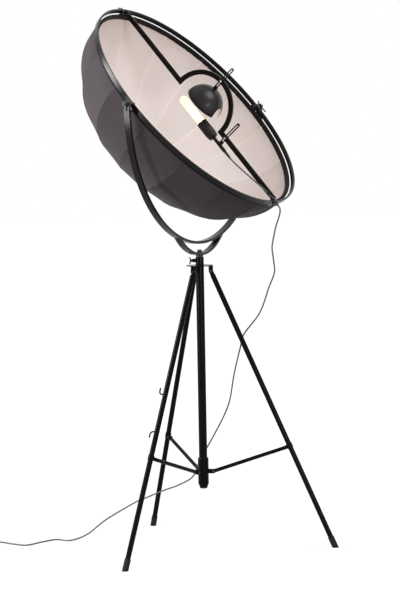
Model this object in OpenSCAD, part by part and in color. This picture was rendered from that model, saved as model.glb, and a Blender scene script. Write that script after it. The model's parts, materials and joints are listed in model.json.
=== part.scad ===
// Tripod spotlight floor lamp: gored fabric dish in a tilting yoke on a folding three-legged stand.
// Origin on the floor under the column. +Z up. All lengths in millimetres, all angles in degrees.

/* [Tripod] */
// Distance from the column's axis to the middle of each foot on the floor
foot_radius = 430; // [380:5:480]
// Distance from the column's axis to each leg's hinge
hinge_radius = 36; // [34:0.5:38]
// Height of the leg hinges
hinge_z = 911; // [840:5:980]
// Outside diameter of a leg tube
leg_d = 17; // [15:0.5:19]
// Wall of a leg tube
leg_wall = 1.5; // [1:0.25:2.5]
// Compass angle of the front left leg
first_leg_azimuth = -125.5; // [-140:0.5:-110]
// Outside diameter of a strut
strut_d = 12; // [10:0.5:14]
// Distance along a leg from its hinge to its strut bracket
strut_along = 626; // [600:5:650]
// Distance of a strut's pivot from its leg's axis
strut_offset = 16.5; // [16:0.5:19]
// Length of the rubber boot on a leg
foot_length = 38; // [28:1:50]
// Thickness of the rubber round the tube
foot_wall = 1.6; // [1:0.2:3]

/* [Column] */
// Outside diameter of the column
column_d = 27; // [26:0.5:29]
// Wall of the column
column_wall = 1.5; // [1:0.25:2]
// Height of the column's lower end
column_bottom_z = 201; // [195:1:204]
// How far the column stands above the head plate
column_above_plate = 25; // [22:1:27]
// Diameter of the head plate
plate_d = 88; // [84:1:100]
// Thickness of the head plate
plate_t = 3; // [2:0.5:5]
// Distance from the leg hinges up to the head plate
plate_above_hinge = 17; // [16:0.5:20]
// Outside diameter of the collar
collar_d = 35; // [33:0.5:37]
// Height of the collar
collar_h = 91; // [70:1:100]
// Height of the struts' pivots on the collar
lug_z = 253; // [248:1:260]
// Distance of these pivots from the column's axis
lug_radius = 34; // [33.5:0.5:36]

/* [Mast] */
// Outside diameter of the mast
mast_d = 22; // [20:0.5:23]
// Wall of the mast
mast_wall = 1.5; // [1:0.25:2]
// Length of the mast hidden in the column
mast_inside = 536; // [500:10:600]
// Diameter of the swivel pin
swivel_d = 12; // [10:0.5:14]

/* [Yoke] */
// Room between the front ring and each arm of the yoke
yoke_room = 19.5; // [17:0.5:24]
// Width of the yoke's bar
yoke_width = 20; // [16:1:26]
// Thickness of the yoke's bar
yoke_t = 9; // [6:0.5:10]
// Radius of the stirrup under the yoke
stirrup_radius = 200; // [180:5:230]
// Thickness of the stirrup's bar
stirrup_t = 8; // [6:0.5:10]
// How far the stirrup hangs below the yoke's middle line
stirrup_drop = 38; // [34:1:46]
// Compass angle of the tilt axis
yoke_azimuth = 61.3; // [50:0.1:75]
// How far the near wing nut is turned
near_wing_turn = 23; // [-90:1:90]
// How far the far wing nut is turned
far_wing_turn = -37; // [-90:1:90]

/* [Dish] */
// How far the dish looks up
dish_elevation = 41; // [20:1:60]
// Outside radius of the front ring
ring_radius = 420; // [412:1:424]
// Width of the front ring, front to back
ring_width = 14; // [12:0.5:18]
// Thickness of the front ring
ring_t = 6; // [4:0.5:7]
// Width of the shade's hoop, front to back
hoop_width = 12; // [10:0.5:16]
// Thickness of the shade's hoop
hoop_t = 4; // [3:0.5:5]
// Gap between the ring and the hoop
hoop_gap = 3; // [2:0.5:5]
// Depth of the fabric shade behind the hoop's front edge
shade_depth = 285; // [240:5:320]
// Number of gores in the shade
gores = 16; // [12:1:20]
// Thickness of the outer fabric
cover_t = 1.2; // [0.8:0.1:2]
// Thickness of the white lining
lining_t = 1; // [0.6:0.1:1.5]
// Width of a rib under a seam
rib_w = 3; // [2:0.5:4]
// Thickness of the crossbar, side to side
bar_t = 6; // [5:0.5:8]
// Width of the crossbar, front to back
bar_w = 16; // [12:0.5:20]
// Radius of the crossbar's round loop
loop_radius = 111; // [104:1:118]
// How far the loop's middle lies below the dish's axis
loop_drop = 12; // [0:1:24]

/* [Small reflector] */
// Radius of the small reflector
dome_radius = 64; // [56:1:66]
// Thickness of its sheet
dome_t = 1.5; // [1:0.25:2.5]
// How far its rim lies in front of the ring's middle
dome_front = 20; // [16:1:26]
// Width of the arched notch in it
notch_w = 40; // [34:1:44]
// Height of the notch
notch_h = 35; // [24:1:40]
// Length of a slotted strip
strip_length = 94; // [86:1:104]
// Width of a slotted strip
strip_w = 12; // [10:0.5:14]
// Thickness of a slotted strip
strip_t = 2; // [1.5:0.25:3]
// Width of its slot
slot_w = 4; // [3.5:0.1:4]

/* [Lampholder and bulb] */
// Outside diameter of the lampholder
holder_d = 36; // [34:0.5:38]
// Length of the lampholder
holder_length = 65; // [55:1:75]
// Distance of the lampholder's mouth below the dish's axis
holder_drop = 54; // [48:1:60]
// How far the lampholder's axis lies behind the ring's middle
holder_back = 24; // [20:1:28]
// Diameter of the stem
stem_d = 11.5; // [10:0.5:13]
// Length of the stem
stem_length = 60; // [50:1:70]
// Diameter of the bulb
bulb_d = 28; // [24:0.5:30]
// Length of the bulb outside the lampholder
bulb_length = 112; // [95:1:118]
// Thickness of the bulb's glass
glass_t = 1; // [0.6:0.1:1.5]

/* [Cord] */
// Diameter of the textile cord
cord_d = 5; // [4:0.5:6]
// Sides of the cord's tube
cord_sides = 8; // [8:1:12]

/* [Hidden] */

$fn = 64;
black = "#1b1918";
steel = "#3a3a3c";
big = 3000;

// Clearances: welded or seated faces, running fits on a pin (radial), and free gaps beside a moving piece
seat = 0.05;
run = 0.05;
gap = 0.3;

// Leg and strut geometry, in the plane of one leg: distance from the column's axis, then height
leg_tilt = atan2(foot_radius - hinge_radius, hinge_z);
leg_length = norm([foot_radius - hinge_radius, hinge_z]);
leg_azimuths = [first_leg_azimuth, first_leg_azimuth + 120, first_leg_azimuth + 240];
strut_leg_end = [hinge_radius + strut_along * sin(leg_tilt) - strut_offset * cos(leg_tilt),
    hinge_z - strut_along * cos(leg_tilt) - strut_offset * sin(leg_tilt)];
strut_collar_end = [lug_radius, lug_z];
strut_run = strut_collar_end - strut_leg_end;
strut_length = norm(strut_run);
strut_angle = atan2(strut_run[1], strut_run[0]);

// Flat tongues, their forks and the pins through them
leg_tongue_t = 5;
strut_tongue_t = 4;
ear_t = 3;
eye_r = 7;
strut_eye_r = 6;
pin_d = 5;
pin_head_d = 9;
pin_head_h = 3;
leg_tube_start = 14;
hook_rod_d = 5;
hook_bend = 10;
hook_stub = 6;
hook_tip = 9;
upper_hook = 0.42;
lower_hook = 0.545;
strut_tube_start = 16;
band_t = 1.5;
bracket_base_t = 3;

// Heights on the stand
plate_z = hinge_z + plate_above_hinge;
plate_top = plate_z + plate_t;
column_top = plate_top + column_above_plate;
column_bore_d = column_d - 2 * column_wall;
collar_bottom = column_bottom_z + 6;
cap_drop = 4;
bush_length = 40;
bush_flange_t = 1.5;
mast_top = column_top + bush_flange_t + 1;
mast_bore_d = mast_d - 2 * mast_wall;
guide_h = 20;
clamp_z = plate_top + 15;
clamp_azimuth = 185;
clamp_d = 6;
clamp_boss_d = 12;
clamp_boss_reach = 10;

// Swivel and yoke
flange_t = 2;
thread_d = 8;
nut_d = 18;
nut_h = 7;
hub_h = 2.2;
yoke_radius = ring_radius + yoke_room + yoke_t / 2;
yoke_bottom = mast_top + flange_t + gap + hub_h + stirrup_t / 2;
tilt_z = yoke_bottom + stirrup_drop + yoke_radius;
yoke_outer = yoke_radius + yoke_t / 2;
yoke_inner = yoke_radius - yoke_t / 2;
stirrup_under = yoke_bottom - stirrup_t / 2;
stirrup_top = yoke_bottom + stirrup_t / 2;

// Tilt pivots
pivot_d = 8;
spacer_d = 16;
pivot_head_d = 13;
pivot_head_h = 4;
wing_hub_d = 15;
wing_hub_h = 10;
wing_reach = 22;
wing_rod_d = 4;

// Dish
ring_inner = ring_radius - ring_t;
ring_back = -ring_width / 2;
hoop_front = ring_back - hoop_gap;
bracket_t = 3;
gore_angle = 360 / gores;
first_seam = gore_angle / 2;
cover_radius = ring_inner - bracket_t - 2 * gap;
hoop_outer = (cover_radius - cover_t) * cos(gore_angle / 4) - gap;
hoop_inner = hoop_outer - hoop_t;
lining_radius = hoop_inner - gap;
shade_rows = 12;
skirt = hoop_width + gap;
rib_outer_r = cover_radius - cover_t - gap - rib_w / 2 * tan(gore_angle / 2);
rib_outer_d = shade_depth - cover_t - gap;
rib_deep = rib_outer_r - hoop_inner;
lining_depth = rib_outer_d - rib_deep - gap;
apex_r = 30;
apex_above = 2.5;
apex_t = rib_deep - apex_above - gap;
bracket_l = 26;
ring_bolt_d = 5;
ring_bolt_spread = 15;
bar_front = 7;
bar_foot_t = 3;
bar_end = cover_radius;

// Strips and what they carry
strip_side = bar_t / 2 + gap;
strip_screw_d = 3.4;
dome_lug_l = 11;
notch_straight = notch_h - notch_w / 2;
dome_rows = 12;
dome_columns = 48;
reflector_strip_start = dome_front + dome_radius;
holder_strip_start = -holder_back + stem_d / 2 + seat;
holder_strip_drop = 150;
loop_apex = bar_front + loop_radius;
slot_margin = 6;
slot_start = 14;
strip_middle = 5;
clip_side = 7.5;
clip_from_end = 25.4;
clip_front = 7;
holder_mouth = -holder_drop;
holder_end = holder_mouth - holder_length;
stem_end = holder_end - stem_length;
gland_l = 8;
bulb_cap_d = 26;
bulb_cap_l = 25;

leg_color = "#161414";

// ---------------------------------------------------------------- placing

// Frame of one leg's vertical plane: X outwards, Z up
module leg_plane(azimuth) { rotate([0, 0, azimuth]) children(); }

// Frame of one leg: origin at its hinge, -Z down the leg, -X on its inner side
module leg_frame(azimuth) {
    leg_plane(azimuth)
        translate([hinge_radius, 0, hinge_z])
            rotate([0, -leg_tilt, 0])
                children();
}

// Frame of one strut: origin at the leg bracket, +X along the strut to the collar
module strut_frame(azimuth) {
    leg_plane(azimuth)
        translate([strut_leg_end[0], 0, strut_leg_end[1]])
            rotate([0, -strut_angle, 0])
                children();
}

// Frame of the yoke: origin at the tilt axis, X along it to the far pivot, Z up
module yoke_frame() {
    translate([0, 0, tilt_z])
        rotate([0, 0, yoke_azimuth])
            children();
}

// Frame of the dish: origin at its middle, X along the tilt axis, Y up the crossbar, Z out of its mouth
module dish_frame() {
    yoke_frame()
        rotate([90 - dish_elevation, 0, 0])
            children();
}

// ---------------------------------------------------------------- shared shapes

module tube(outside_d, bore_d, length) {
    difference() {
        cylinder(d = outside_d, h = length);
        translate([0, 0, -1])
            cylinder(d = bore_d, h = length + 2);
    }
}

// A cylinder along Y, middle at the origin
module across(d, length) {
    rotate([90, 0, 0])
        cylinder(d = d, h = length, center = true);
}

// A cylinder along X, from x0 to x1
module along_x(d, x0, x1) {
    translate([x0, 0, 0])
        rotate([0, 90, 0])
            cylinder(d = d, h = x1 - x0);
}

// A cylinder along Y, from y0 to y1
module along_y(d, y0, y1) {
    translate([0, y0, 0])
        rotate([-90, 0, 0])
            cylinder(d = d, h = y1 - y0);
}

// Flat bar rolled to a radius, lying in the XZ plane
module rolled_bar(radius, width, thickness, start, sweep) {
    rotate([90, 0, 0])
        rotate([0, 0, start])
            rotate_extrude(angle = sweep, $fn = 180)
                translate([radius, 0])
                    square([thickness, width], center = true);
}

// A bolt across a fork: shank and a head at each side
module fork_pin(fork_width) {
    across(pin_d, fork_width + 2 * pin_head_h);
    for (side = [-1, 1])
        translate([0, side * (fork_width + pin_head_h) / 2 + side * seat, 0])
            across(pin_head_d, pin_head_h - 2 * seat);
}

// Two wings of bent rod beside a hub along X
module wings(hub_x, reach) {
    for (side = [-1, 1])
        rotate([side * 90 - 90, 0, 0])
            translate([hub_x, 0, 0])
                rotate([0, 22, 0]) {
                    cylinder(d = wing_rod_d, h = reach / cos(22), $fn = 24);
                    translate([0, 0, reach / cos(22)])
                        sphere(d = wing_rod_d * 1.3, $fn = 24);
                }
}

// ---------------------------------------------------------------- stand

module column_tube() {
    color(black)
        difference() {
            translate([0, 0, column_bottom_z])
                tube(column_d, column_bore_d, column_top - column_bottom_z);
            clamp_hole();
        }
}

// The clamp screw's way through the column and its bush
module clamp_hole() {
    translate([0, 0, clamp_z])
        rotate([0, 0, clamp_azimuth])
            along_x(clamp_d + 2 * run, 2, column_d);
}

module column_cap() {
    color(steel)
        translate([0, 0, column_bottom_z - cap_drop]) {
            cylinder(d1 = column_d - 3, d2 = column_d - 1, h = cap_drop - seat);
            cylinder(d = column_bore_d - 2 * seat, h = cap_drop + 16);
        }
}

module column_bush() {
    color("#2b2b2b")
        difference() {
            union() {
                translate([0, 0, column_top - bush_length])
                    cylinder(d = column_bore_d - 2 * seat, h = bush_length + bush_flange_t);
                translate([0, 0, column_top + seat])
                    cylinder(d = column_d, h = bush_flange_t - seat);
            }
            translate([0, 0, column_top - bush_length - 1])
                cylinder(d = mast_d + 2 * run, h = bush_length + 10);
            clamp_hole();
        }
}

module head_plate() {
    color(black)
        translate([0, 0, plate_z])
            difference() {
                union() {
                    translate([0, 0, 0.5])
                        cylinder(d = plate_d, h = plate_t - 1, $fn = 96);
                    cylinder(d = plate_d - 1, h = plate_t, $fn = 96);
                }
                translate([0, 0, -1])
                    cylinder(d = column_d + 2 * seat, h = plate_t + 2);
            }
}

// Fork under the head plate for one leg
module leg_bracket() {
    fork = leg_tongue_t + 2 * gap + 2 * ear_t;
    base_top = plate_above_hinge - seat;
    difference() {
        union() {
            for (side = [-1, 1])
                translate([0, side * (fork - ear_t) / 2, 0]) {
                    across(2 * eye_r, ear_t);
                    translate([-eye_r, -ear_t / 2, 0])
                        cube([2 * eye_r, ear_t, base_top]);
                }
            translate([-eye_r, -fork / 2, base_top - bracket_base_t + 1])
                cube([2 * eye_r, fork, bracket_base_t - 1]);
        }
        across(pin_d + 2 * run, fork + 2);
    }
}

module leg_brackets() {
    color(black)
        for (azimuth = leg_azimuths)
            leg_plane(azimuth)
                translate([hinge_radius, 0, hinge_z])
                    leg_bracket();
}

module leg_pins() {
    color(steel)
        for (azimuth = leg_azimuths)
            leg_plane(azimuth)
                translate([hinge_radius, 0, hinge_z])
                    fork_pin(leg_tongue_t + 2 * gap + 2 * ear_t + 2 * seat);
}

module collar() {
    fork = strut_tongue_t + 2 * gap + 2 * ear_t;
    color(black)
        difference() {
            union() {
                translate([0, 0, collar_bottom])
                    cylinder(d1 = collar_d - 4, d2 = collar_d, h = 6);
                translate([0, 0, collar_bottom + 6])
                    cylinder(d = collar_d, h = collar_h - 8);
                translate([0, 0, collar_bottom + collar_h - 2])
                    cylinder(d1 = collar_d, d2 = collar_d - 2, h = 2);
                for (azimuth = leg_azimuths, side = [-1, 1])
                    leg_plane(azimuth)
                        translate([0, side * (fork - ear_t) / 2, lug_z]) {
                            translate([collar_d / 2 - 3, -ear_t / 2, -eye_r])
                                cube([lug_radius - collar_d / 2 + 3, ear_t, 2 * eye_r]);
                            translate([lug_radius, 0, 0])
                                across(2 * eye_r, ear_t);
                        }
            }
            translate([0, 0, collar_bottom - 1])
                cylinder(d = column_d + 2 * seat, h = collar_h + 2);
            for (azimuth = leg_azimuths)
                leg_plane(azimuth)
                    translate([lug_radius, 0, lug_z])
                        across(pin_d + 2 * run, fork + 2);
        }
}

// A short bolt in each ear of the collar: the strut's tongue lies between them
module collar_bolts() {
    inner = strut_tongue_t / 2 + gap;
    color(steel)
        for (azimuth = leg_azimuths, side = [-1, 1])
            leg_plane(azimuth)
                translate([lug_radius, 0, lug_z])
                    scale([1, side, 1]) {
                        along_y(pin_d, inner, inner + ear_t + pin_head_h);
                        along_y(pin_head_d, inner + ear_t + seat, inner + ear_t + pin_head_h);
                    }
}

module clamp_boss() {
    color(black)
        translate([0, 0, clamp_z])
            rotate([0, 0, clamp_azimuth])
                difference() {
                    along_x(clamp_boss_d, 2, column_d / 2 + clamp_boss_reach);
                    translate([0, 0, -clamp_boss_d])
                        cylinder(d = column_d + 2 * seat, h = 2 * clamp_boss_d);
                    along_x(clamp_d + 2 * run, 1, column_d);
                }
}

module clamp_screw() {
    boss_face = column_d / 2 + clamp_boss_reach;
    color(steel)
        translate([0, 0, clamp_z])
            rotate([0, 0, clamp_azimuth]) {
                along_x(clamp_d, mast_d / 2 + gap, boss_face + 9);
                along_x(9, boss_face + gap, boss_face + 9);
                wings(boss_face + 5, 9);
            }
}

// ---------------------------------------------------------------- legs and struts

module leg_tube(azimuth) {
    bottom = -leg_length + foot_length / 2;
    color(leg_color)
        leg_frame(azimuth)
            difference() {
                union() {
                    translate([0, 0, bottom])
                        tube(leg_d, leg_d - 2 * leg_wall, -leg_tube_start - bottom);
                    translate([0, 0, -leg_tube_start - 6])
                        cylinder(d = leg_d - leg_wall, h = 6);
                    translate([-eye_r, -leg_tongue_t / 2, -leg_tube_start - 3])
                        cube([2 * eye_r, leg_tongue_t, leg_tube_start + 3]);
                    across(2 * eye_r, leg_tongue_t);
                }
                across(pin_d + 2 * run, leg_tongue_t + 2);
            }
}

// Rubber boot, cut level with the floor
module foot(azimuth) {
    color("#101010")
        intersection() {
            translate([-big / 2, -big / 2, 0])
                cube([big, big, big]);
            leg_frame(azimuth)
                difference() {
                    translate([0, 0, -leg_length - foot_length])
                        cylinder(d = leg_d + 2 * foot_wall, h = 2 * foot_length);
                    translate([0, 0, -leg_length + foot_length / 2 - gap])
                        cylinder(d = leg_d + 2 * seat, h = foot_length);
                }
        }
}

// Band round the leg with the strut's fork on its inner side, and the bolt through the fork
module strut_bracket(azimuth) {
    fork = strut_tongue_t + 2 * gap + 2 * ear_t;
    band_h = 16;
    color(black)
        leg_frame(azimuth)
            translate([0, 0, -strut_along]) {
                difference() {
                    union() {
                        translate([0, 0, -band_h / 2])
                            cylinder(d = leg_d + 2 * band_t, h = band_h);
                        for (side = [-1, 1])
                            translate([-strut_offset, side * (fork - ear_t) / 2, 0]) {
                                across(2 * strut_eye_r, ear_t);
                                translate([0, -ear_t / 2, -strut_eye_r])
                                    cube([strut_offset - leg_d / 2 + 1, ear_t, 2 * strut_eye_r]);
                            }
                    }
                    translate([0, 0, -band_h])
                        cylinder(d = leg_d + 2 * seat, h = 2 * band_h);
                }
                translate([-strut_offset, 0, 0])
                    fork_pin(fork - 2 * seat);
            }
}

// Two hooks of bent rod on the front left leg, to wind the cord round: one opens up, one down
module cord_hooks() {
    color(black)
        leg_frame(leg_azimuths[0]) {
                translate([0, 0, -upper_hook * leg_length])
                    cord_hook();
                translate([0, 0, -lower_hook * leg_length])
                    mirror([0, 0, 1])
                        cord_hook();
            }
}

module cord_hook() {
    root = leg_d / 2 + seat;
    translate([0, -root - hook_stub, 0]) {
        along_y(hook_rod_d, 0, hook_stub);
        translate([0, 0, hook_bend])
            rotate([0, 90, 0])
                rotate([0, 0, -90])
                    rotate_extrude(angle = 90)
                        translate([hook_bend, 0])
                            circle(d = hook_rod_d, $fn = 24);
        translate([0, -hook_bend, hook_bend]) {
            cylinder(d = hook_rod_d, h = hook_tip);
            translate([0, 0, hook_tip])
                sphere(d = hook_rod_d, $fn = 24);
        }
    }
}

module strut(azimuth) {
    color(leg_color)
        strut_frame(azimuth)
            difference() {
                union() {
                    along_x(strut_d, strut_tube_start, strut_length - strut_tube_start);
                    translate([0, -strut_tongue_t / 2, -strut_eye_r])
                        cube([strut_length, strut_tongue_t, 2 * strut_eye_r]);
                    for (x = [0, strut_length])
                        translate([x, 0, 0])
                            across(2 * strut_eye_r, strut_tongue_t);
                }
                for (x = [0, strut_length])
                    translate([x, 0, 0])
                        across(pin_d + 2 * run, strut_tongue_t + 2);
            }
}

// ---------------------------------------------------------------- mast

module mast_tube() {
    bottom = mast_top - mast_inside;
    color(black)
        translate([0, 0, bottom])
            tube(mast_d, mast_bore_d, mast_inside);
}

module mast_guide() {
    bottom = mast_top - mast_inside;
    color("#2b2b2b")
        translate([0, 0, bottom - guide_h]) {
            cylinder(d = column_bore_d - 2 * run, h = guide_h - seat);
            cylinder(d = mast_bore_d - 2 * seat, h = guide_h + 24);
        }
}

module swivel_pin() {
    color(steel)
        translate([0, 0, mast_top]) {
            translate([0, 0, -30])
                cylinder(d = mast_bore_d - 2 * seat, h = 30 + flange_t);
            translate([0, 0, seat])
                cylinder(d = mast_d, h = flange_t - seat);
            cylinder(d = swivel_d, h = stirrup_top + gap - mast_top);
            cylinder(d = thread_d, h = stirrup_top + gap + nut_h - mast_top);
        }
}

module swivel_nut() {
    color(steel)
        translate([0, 0, stirrup_top + gap + seat])
            difference() {
                union() {
                    cylinder(d = nut_d, h = nut_h - 2, $fn = 6);
                    cylinder(d = nut_d * 0.8, h = nut_h + 3);
                }
                translate([0, 0, -1])
                    cylinder(d = thread_d + 2 * seat, h = nut_h + 1 + seat);
            }
}

// ---------------------------------------------------------------- yoke

module yoke_bar() {
    color(black)
        yoke_frame()
            difference() {
                union() {
                    rolled_bar(yoke_radius, yoke_width, yoke_t, 180, 180);
                    for (side = [-1, 1])
                        scale([side, 1, 1])
                            along_x(yoke_width, yoke_inner, yoke_outer);
                }
                along_x(pivot_d + 2 * run, -yoke_outer - 5, yoke_outer + 5);
            }
}

module yoke_stirrup() {
    color(black)
        difference() {
            yoke_frame()
                translate([0, 0, stirrup_radius - yoke_radius - stirrup_drop])
                    rolled_bar(stirrup_radius, yoke_width, stirrup_t, 180, 180);
            yoke_frame()
                rotate([90, 0, 0])
                    cylinder(r = yoke_outer + seat, h = 2 * yoke_width, center = true, $fn = 180);
            translate([0, 0, stirrup_under - 20])
                cylinder(d = swivel_d + 2 * run, h = 40);
        }
}

// Collar welded under the stirrup, turning on the swivel pin's flange
module yoke_hub() {
    bottom = mast_top + flange_t + gap;
    color(black)
        difference() {
            translate([0, 0, bottom])
                cylinder(d = mast_d + 2, h = stirrup_top - bottom);
            yoke_frame()
                translate([0, 0, stirrup_radius - yoke_radius - stirrup_drop])
                    rotate([90, 0, 0])
                        cylinder(r = stirrup_radius + stirrup_t / 2 + seat, h = 2 * yoke_width, center = true, $fn = 180);
            translate([0, 0, bottom - 1])
                cylinder(d = swivel_d + 2 * run, h = 40);
        }
}

module wing_nut(side, turn) {
    inner = yoke_outer + gap;
    color(steel)
        yoke_frame()
            rotate([side * turn, 0, side < 0 ? 180 : 0])
                difference() {
                    union() {
                        along_x(wing_hub_d, inner, inner + wing_hub_h);
                        wings(inner + wing_hub_h - wing_rod_d, wing_reach);
                    }
                    along_x(pivot_d + 2 * run, inner - 1, inner + wing_hub_h + 20);
                }
}

// ---------------------------------------------------------------- dish

// A ring of rectangular section round the dish's axis, its front edge at front
module dish_ring(outer_r, inner_r, front, width) {
    translate([0, 0, front - width])
        rotate_extrude($fn = 180)
            translate([inner_r, 0])
                square([outer_r - inner_r, width]);
}

// What holds ring and hoop together, at each end of the crossbar and at each pivot
module around_ring() {
    for (turn = [0, 90, 180, 270])
        rotate([0, 0, turn])
            children();
}

module ring_holes() {
    along_x(pivot_d + 2 * run, -ring_radius - 5, ring_radius + 5);
    for (x = [-1, 1])
        translate([x * ring_bolt_spread / 2, 0, 0])
            along_y(ring_bolt_d + 2 * run, -ring_radius - 5, ring_radius + 5);
}

module frame_ring() {
    color(black)
        dish_frame()
            difference() {
                dish_ring(ring_radius, ring_inner, ring_width / 2, ring_width);
                ring_holes();
            }
}

module shade_hoop() {
    color(black)
        dish_frame()
            dish_ring(hoop_outer, hoop_inner, hoop_front, hoop_width);
}

module ring_brackets() {
    back = hoop_front - hoop_width + 1;
    color(black)
        dish_frame()
            difference() {
                around_ring()
                    translate([ring_inner - bracket_t - gap, -bracket_l / 2, back])
                        cube([bracket_t, bracket_l, ring_width / 2 - 1 - back]);
                difference() {
                    translate([0, 0, back - 1])
                        cylinder(r = ring_radius, h = 60, $fn = 180);
                    translate([0, 0, back - 2])
                        cylinder(r = ring_inner - seat, h = 62, $fn = 180);
                }
                ring_holes();
            }
}

module ring_bolts() {
    head = bar_end - bar_foot_t - gap;
    color(steel)
        dish_frame()
            for (side = [-1, 1], x = [-1, 1])
                scale([1, side, 1])
                    translate([x * ring_bolt_spread / 2, 0, 0]) {
                        along_y(ring_bolt_d, head - 3, ring_radius + 12);
                        along_y(9, head - 3, head - seat);
                        along_y(9, ring_radius + gap, ring_radius + 5);
                    }
}

module pivot_screws() {
    head = ring_inner - bracket_t - 2 * gap;
    color(steel)
        dish_frame()
            for (side = [-1, 1])
                scale([side, 1, 1]) {
                    along_x(pivot_d, head - pivot_head_h, yoke_outer + wing_hub_h + 6);
                    along_x(pivot_head_d, head - pivot_head_h, head - seat);
                }
}

module pivot_spacers() {
    color(black)
        dish_frame()
            for (side = [-1, 1])
                scale([side, 1, 1])
                    difference() {
                        along_x(spacer_d, ring_radius - 1, yoke_inner - gap);
                        cylinder(r = ring_radius + seat, h = 60, center = true, $fn = 180);
                        along_x(pivot_d + 2 * run, ring_radius - 5, yoke_inner + 5);
                    }
}

// Outline of the crossbar in the plane of the dish's Y and Z: two straight ends and the round loop
module bar_outline() {
    half = bar_w / 2;
    for (side = [-1, 1]) {
        corner = -loop_drop + side * loop_radius;
        low = min(corner - side * half, side * bar_end);
        high = max(corner - side * half, side * bar_end);
        translate([low, bar_front - half])
            square([high - low, bar_w]);
    }
    translate([-loop_drop, bar_front])
        intersection() {
            difference() {
                circle(r = loop_radius + half, $fn = 120);
                circle(r = loop_radius - half, $fn = 120);
            }
            translate([-loop_radius - half, -half])
                square([2 * loop_radius + bar_w, loop_radius + bar_w]);
        }
}

// Turns an outline in the dish's Y and Z into a plate from x0 to x1
module side_plate(x0, x1) {
    translate([x0, 0, 0])
        rotate([90, 0, 90])
            linear_extrude(x1 - x0)
                children();
}

module crossbar() {
    foot_w = ring_bolt_spread + 11;
    color(black)
        dish_frame()
            difference() {
                union() {
                    side_plate(-bar_t / 2, bar_t / 2)
                        bar_outline();
                    for (side = [-1, 1])
                        scale([1, side, 1])
                            translate([-foot_w / 2, bar_end - bar_foot_t, -6])
                                cube([foot_w, bar_foot_t, 12]);
                }
                ring_holes();
                for (spot = [[-strip_middle, loop_apex], [-holder_strip_drop, bar_front]])
                    translate([0, spot[0], spot[1]])
                        along_x(strip_screw_d, -bar_t, bar_t);
            }
}

// A plate with a long slot, from its carrier out along Z
module slotted_strip(start, middle) {
    slot_end = strip_length - slot_margin - slot_w / 2;
    side_plate(-strip_side - strip_t, -strip_side)
        translate([middle, start])
            difference() {
                union() {
                    translate([-strip_w / 2, 0])
                        square([strip_w, strip_length - strip_w / 2]);
                    translate([0, strip_length - strip_w / 2])
                        circle(d = strip_w);
                }
                translate([-slot_w / 2, slot_start])
                    square([slot_w, slot_end - slot_start]);
                for (end = [slot_start, slot_end])
                    translate([0, end])
                        circle(d = slot_w, $fn = 32);
            }
}

// Screw through a strip's slot into the crossbar, with its nut behind the bar
module strip_screw() {
    face = -strip_side - strip_t - gap;
    along_x(strip_screw_d - 2 * seat, face - 3, bar_t / 2 + 4);
    along_x(8, face - 3, face);
    along_x(7, bar_t / 2 + seat, bar_t / 2 + 3);
}

module cord_clip() {
    outside_d = 2 * (clip_side - bar_t / 2 - seat);
    color(black)
        dish_frame()
            translate([-clip_side, clip_from_end - bar_end, clip_front])
                difference() {
                    along_y(outside_d, -4, 4);
                    along_y(cord_d + 2 * gap, -5, 5);
                }
}

// Profile of the shade behind the hoop: a straight skirt over it, then an ellipse's quarter down to the apex
function shade_profile(radius, depth) =
    [for (row = [0 : shade_rows - 1])
        let (angle = 90 * row / shade_rows)
        [radius * cos(angle), -skirt - (depth - skirt) * sin(angle)]];

// The cloth is stretched straight from rib to rib, so between two seams it lies nearer to the axis
function shade_point(radius, depth, row, column) =
    let (at = row == 0 ? [radius, 0] : shade_profile(radius, depth)[row - 1],
         pull = column % 2 == 0 || row < 2 ? 1 : cos(gore_angle / 2),
         turn = first_seam + column * gore_angle / 2)
    [at[0] * pull * cos(turn), at[0] * pull * sin(turn), at[1] + hoop_front];

// Closed skin between an outer and an inner grid of points, each closed by a tip
module skin(outer, inner, outer_tip, inner_tip) {
    rows = len(outer);
    columns = len(outer[0]);
    half = rows * columns;
    tip = 2 * half;
    sides = [for (row = [0 : rows - 2], column = [0 : columns - 1])
        let (a = row * columns + column,
             b = row * columns + (column + 1) % columns,
             c = b + columns,
             d = a + columns)
        each [[a, b, c], [a, c, d], [half + a, half + c, half + b], [half + a, half + d, half + c]]];
    caps = [for (column = [0 : columns - 1])
        let (a = (rows - 1) * columns + column,
             b = (rows - 1) * columns + (column + 1) % columns)
        each [[a, b, tip], [half + a, tip + 1, half + b]]];
    rim = [for (column = [0 : columns - 1])
        let (a = column, b = (column + 1) % columns)
        each [[a, half + a, half + b], [a, half + b, b]]];
    polyhedron(
        points = concat([for (row = outer) each row], [for (row = inner) each row], [outer_tip, inner_tip]),
        faces = concat(sides, caps, rim));
}

function shade_grid(radius, depth) =
    [for (row = [0 : shade_rows]) [for (column = [0 : 2 * gores - 1]) shade_point(radius, depth, row, column)]];

module shade_skin(radius, depth, thickness) {
    skin(shade_grid(radius, depth), shade_grid(radius - thickness, depth - thickness),
        [0, 0, hoop_front - depth], [0, 0, hoop_front - depth + thickness]);
}

module shade_cover() {
    color("#3f3a40")
        dish_frame()
            shade_skin(cover_radius, shade_depth, cover_t);
}

module shade_lining() {
    color("#e2d6cf")
        dish_frame()
            shade_skin(lining_radius, lining_depth, lining_t);
}

// Flat ribs under the seams, from the hoop to the apex plate
module rib_outline() {
    outer = rib_edge(rib_outer_r, rib_outer_d);
    inner = rib_edge(rib_outer_r - rib_deep, rib_outer_d - rib_deep);
    polygon(concat(outer, [for (i = [len(inner) - 1 : -1 : 0]) inner[i]]));
}

// One edge of a rib: the shade's profile, cut off at the apex plate
function rib_edge(radius, depth) =
    let (profile = shade_profile(radius, depth),
         last = profile[len(profile) - 1],
         share = 1 - (apex_r + gap) / last[0])
    concat(profile, [last + share * ([0, -depth] - last)]);

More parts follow.
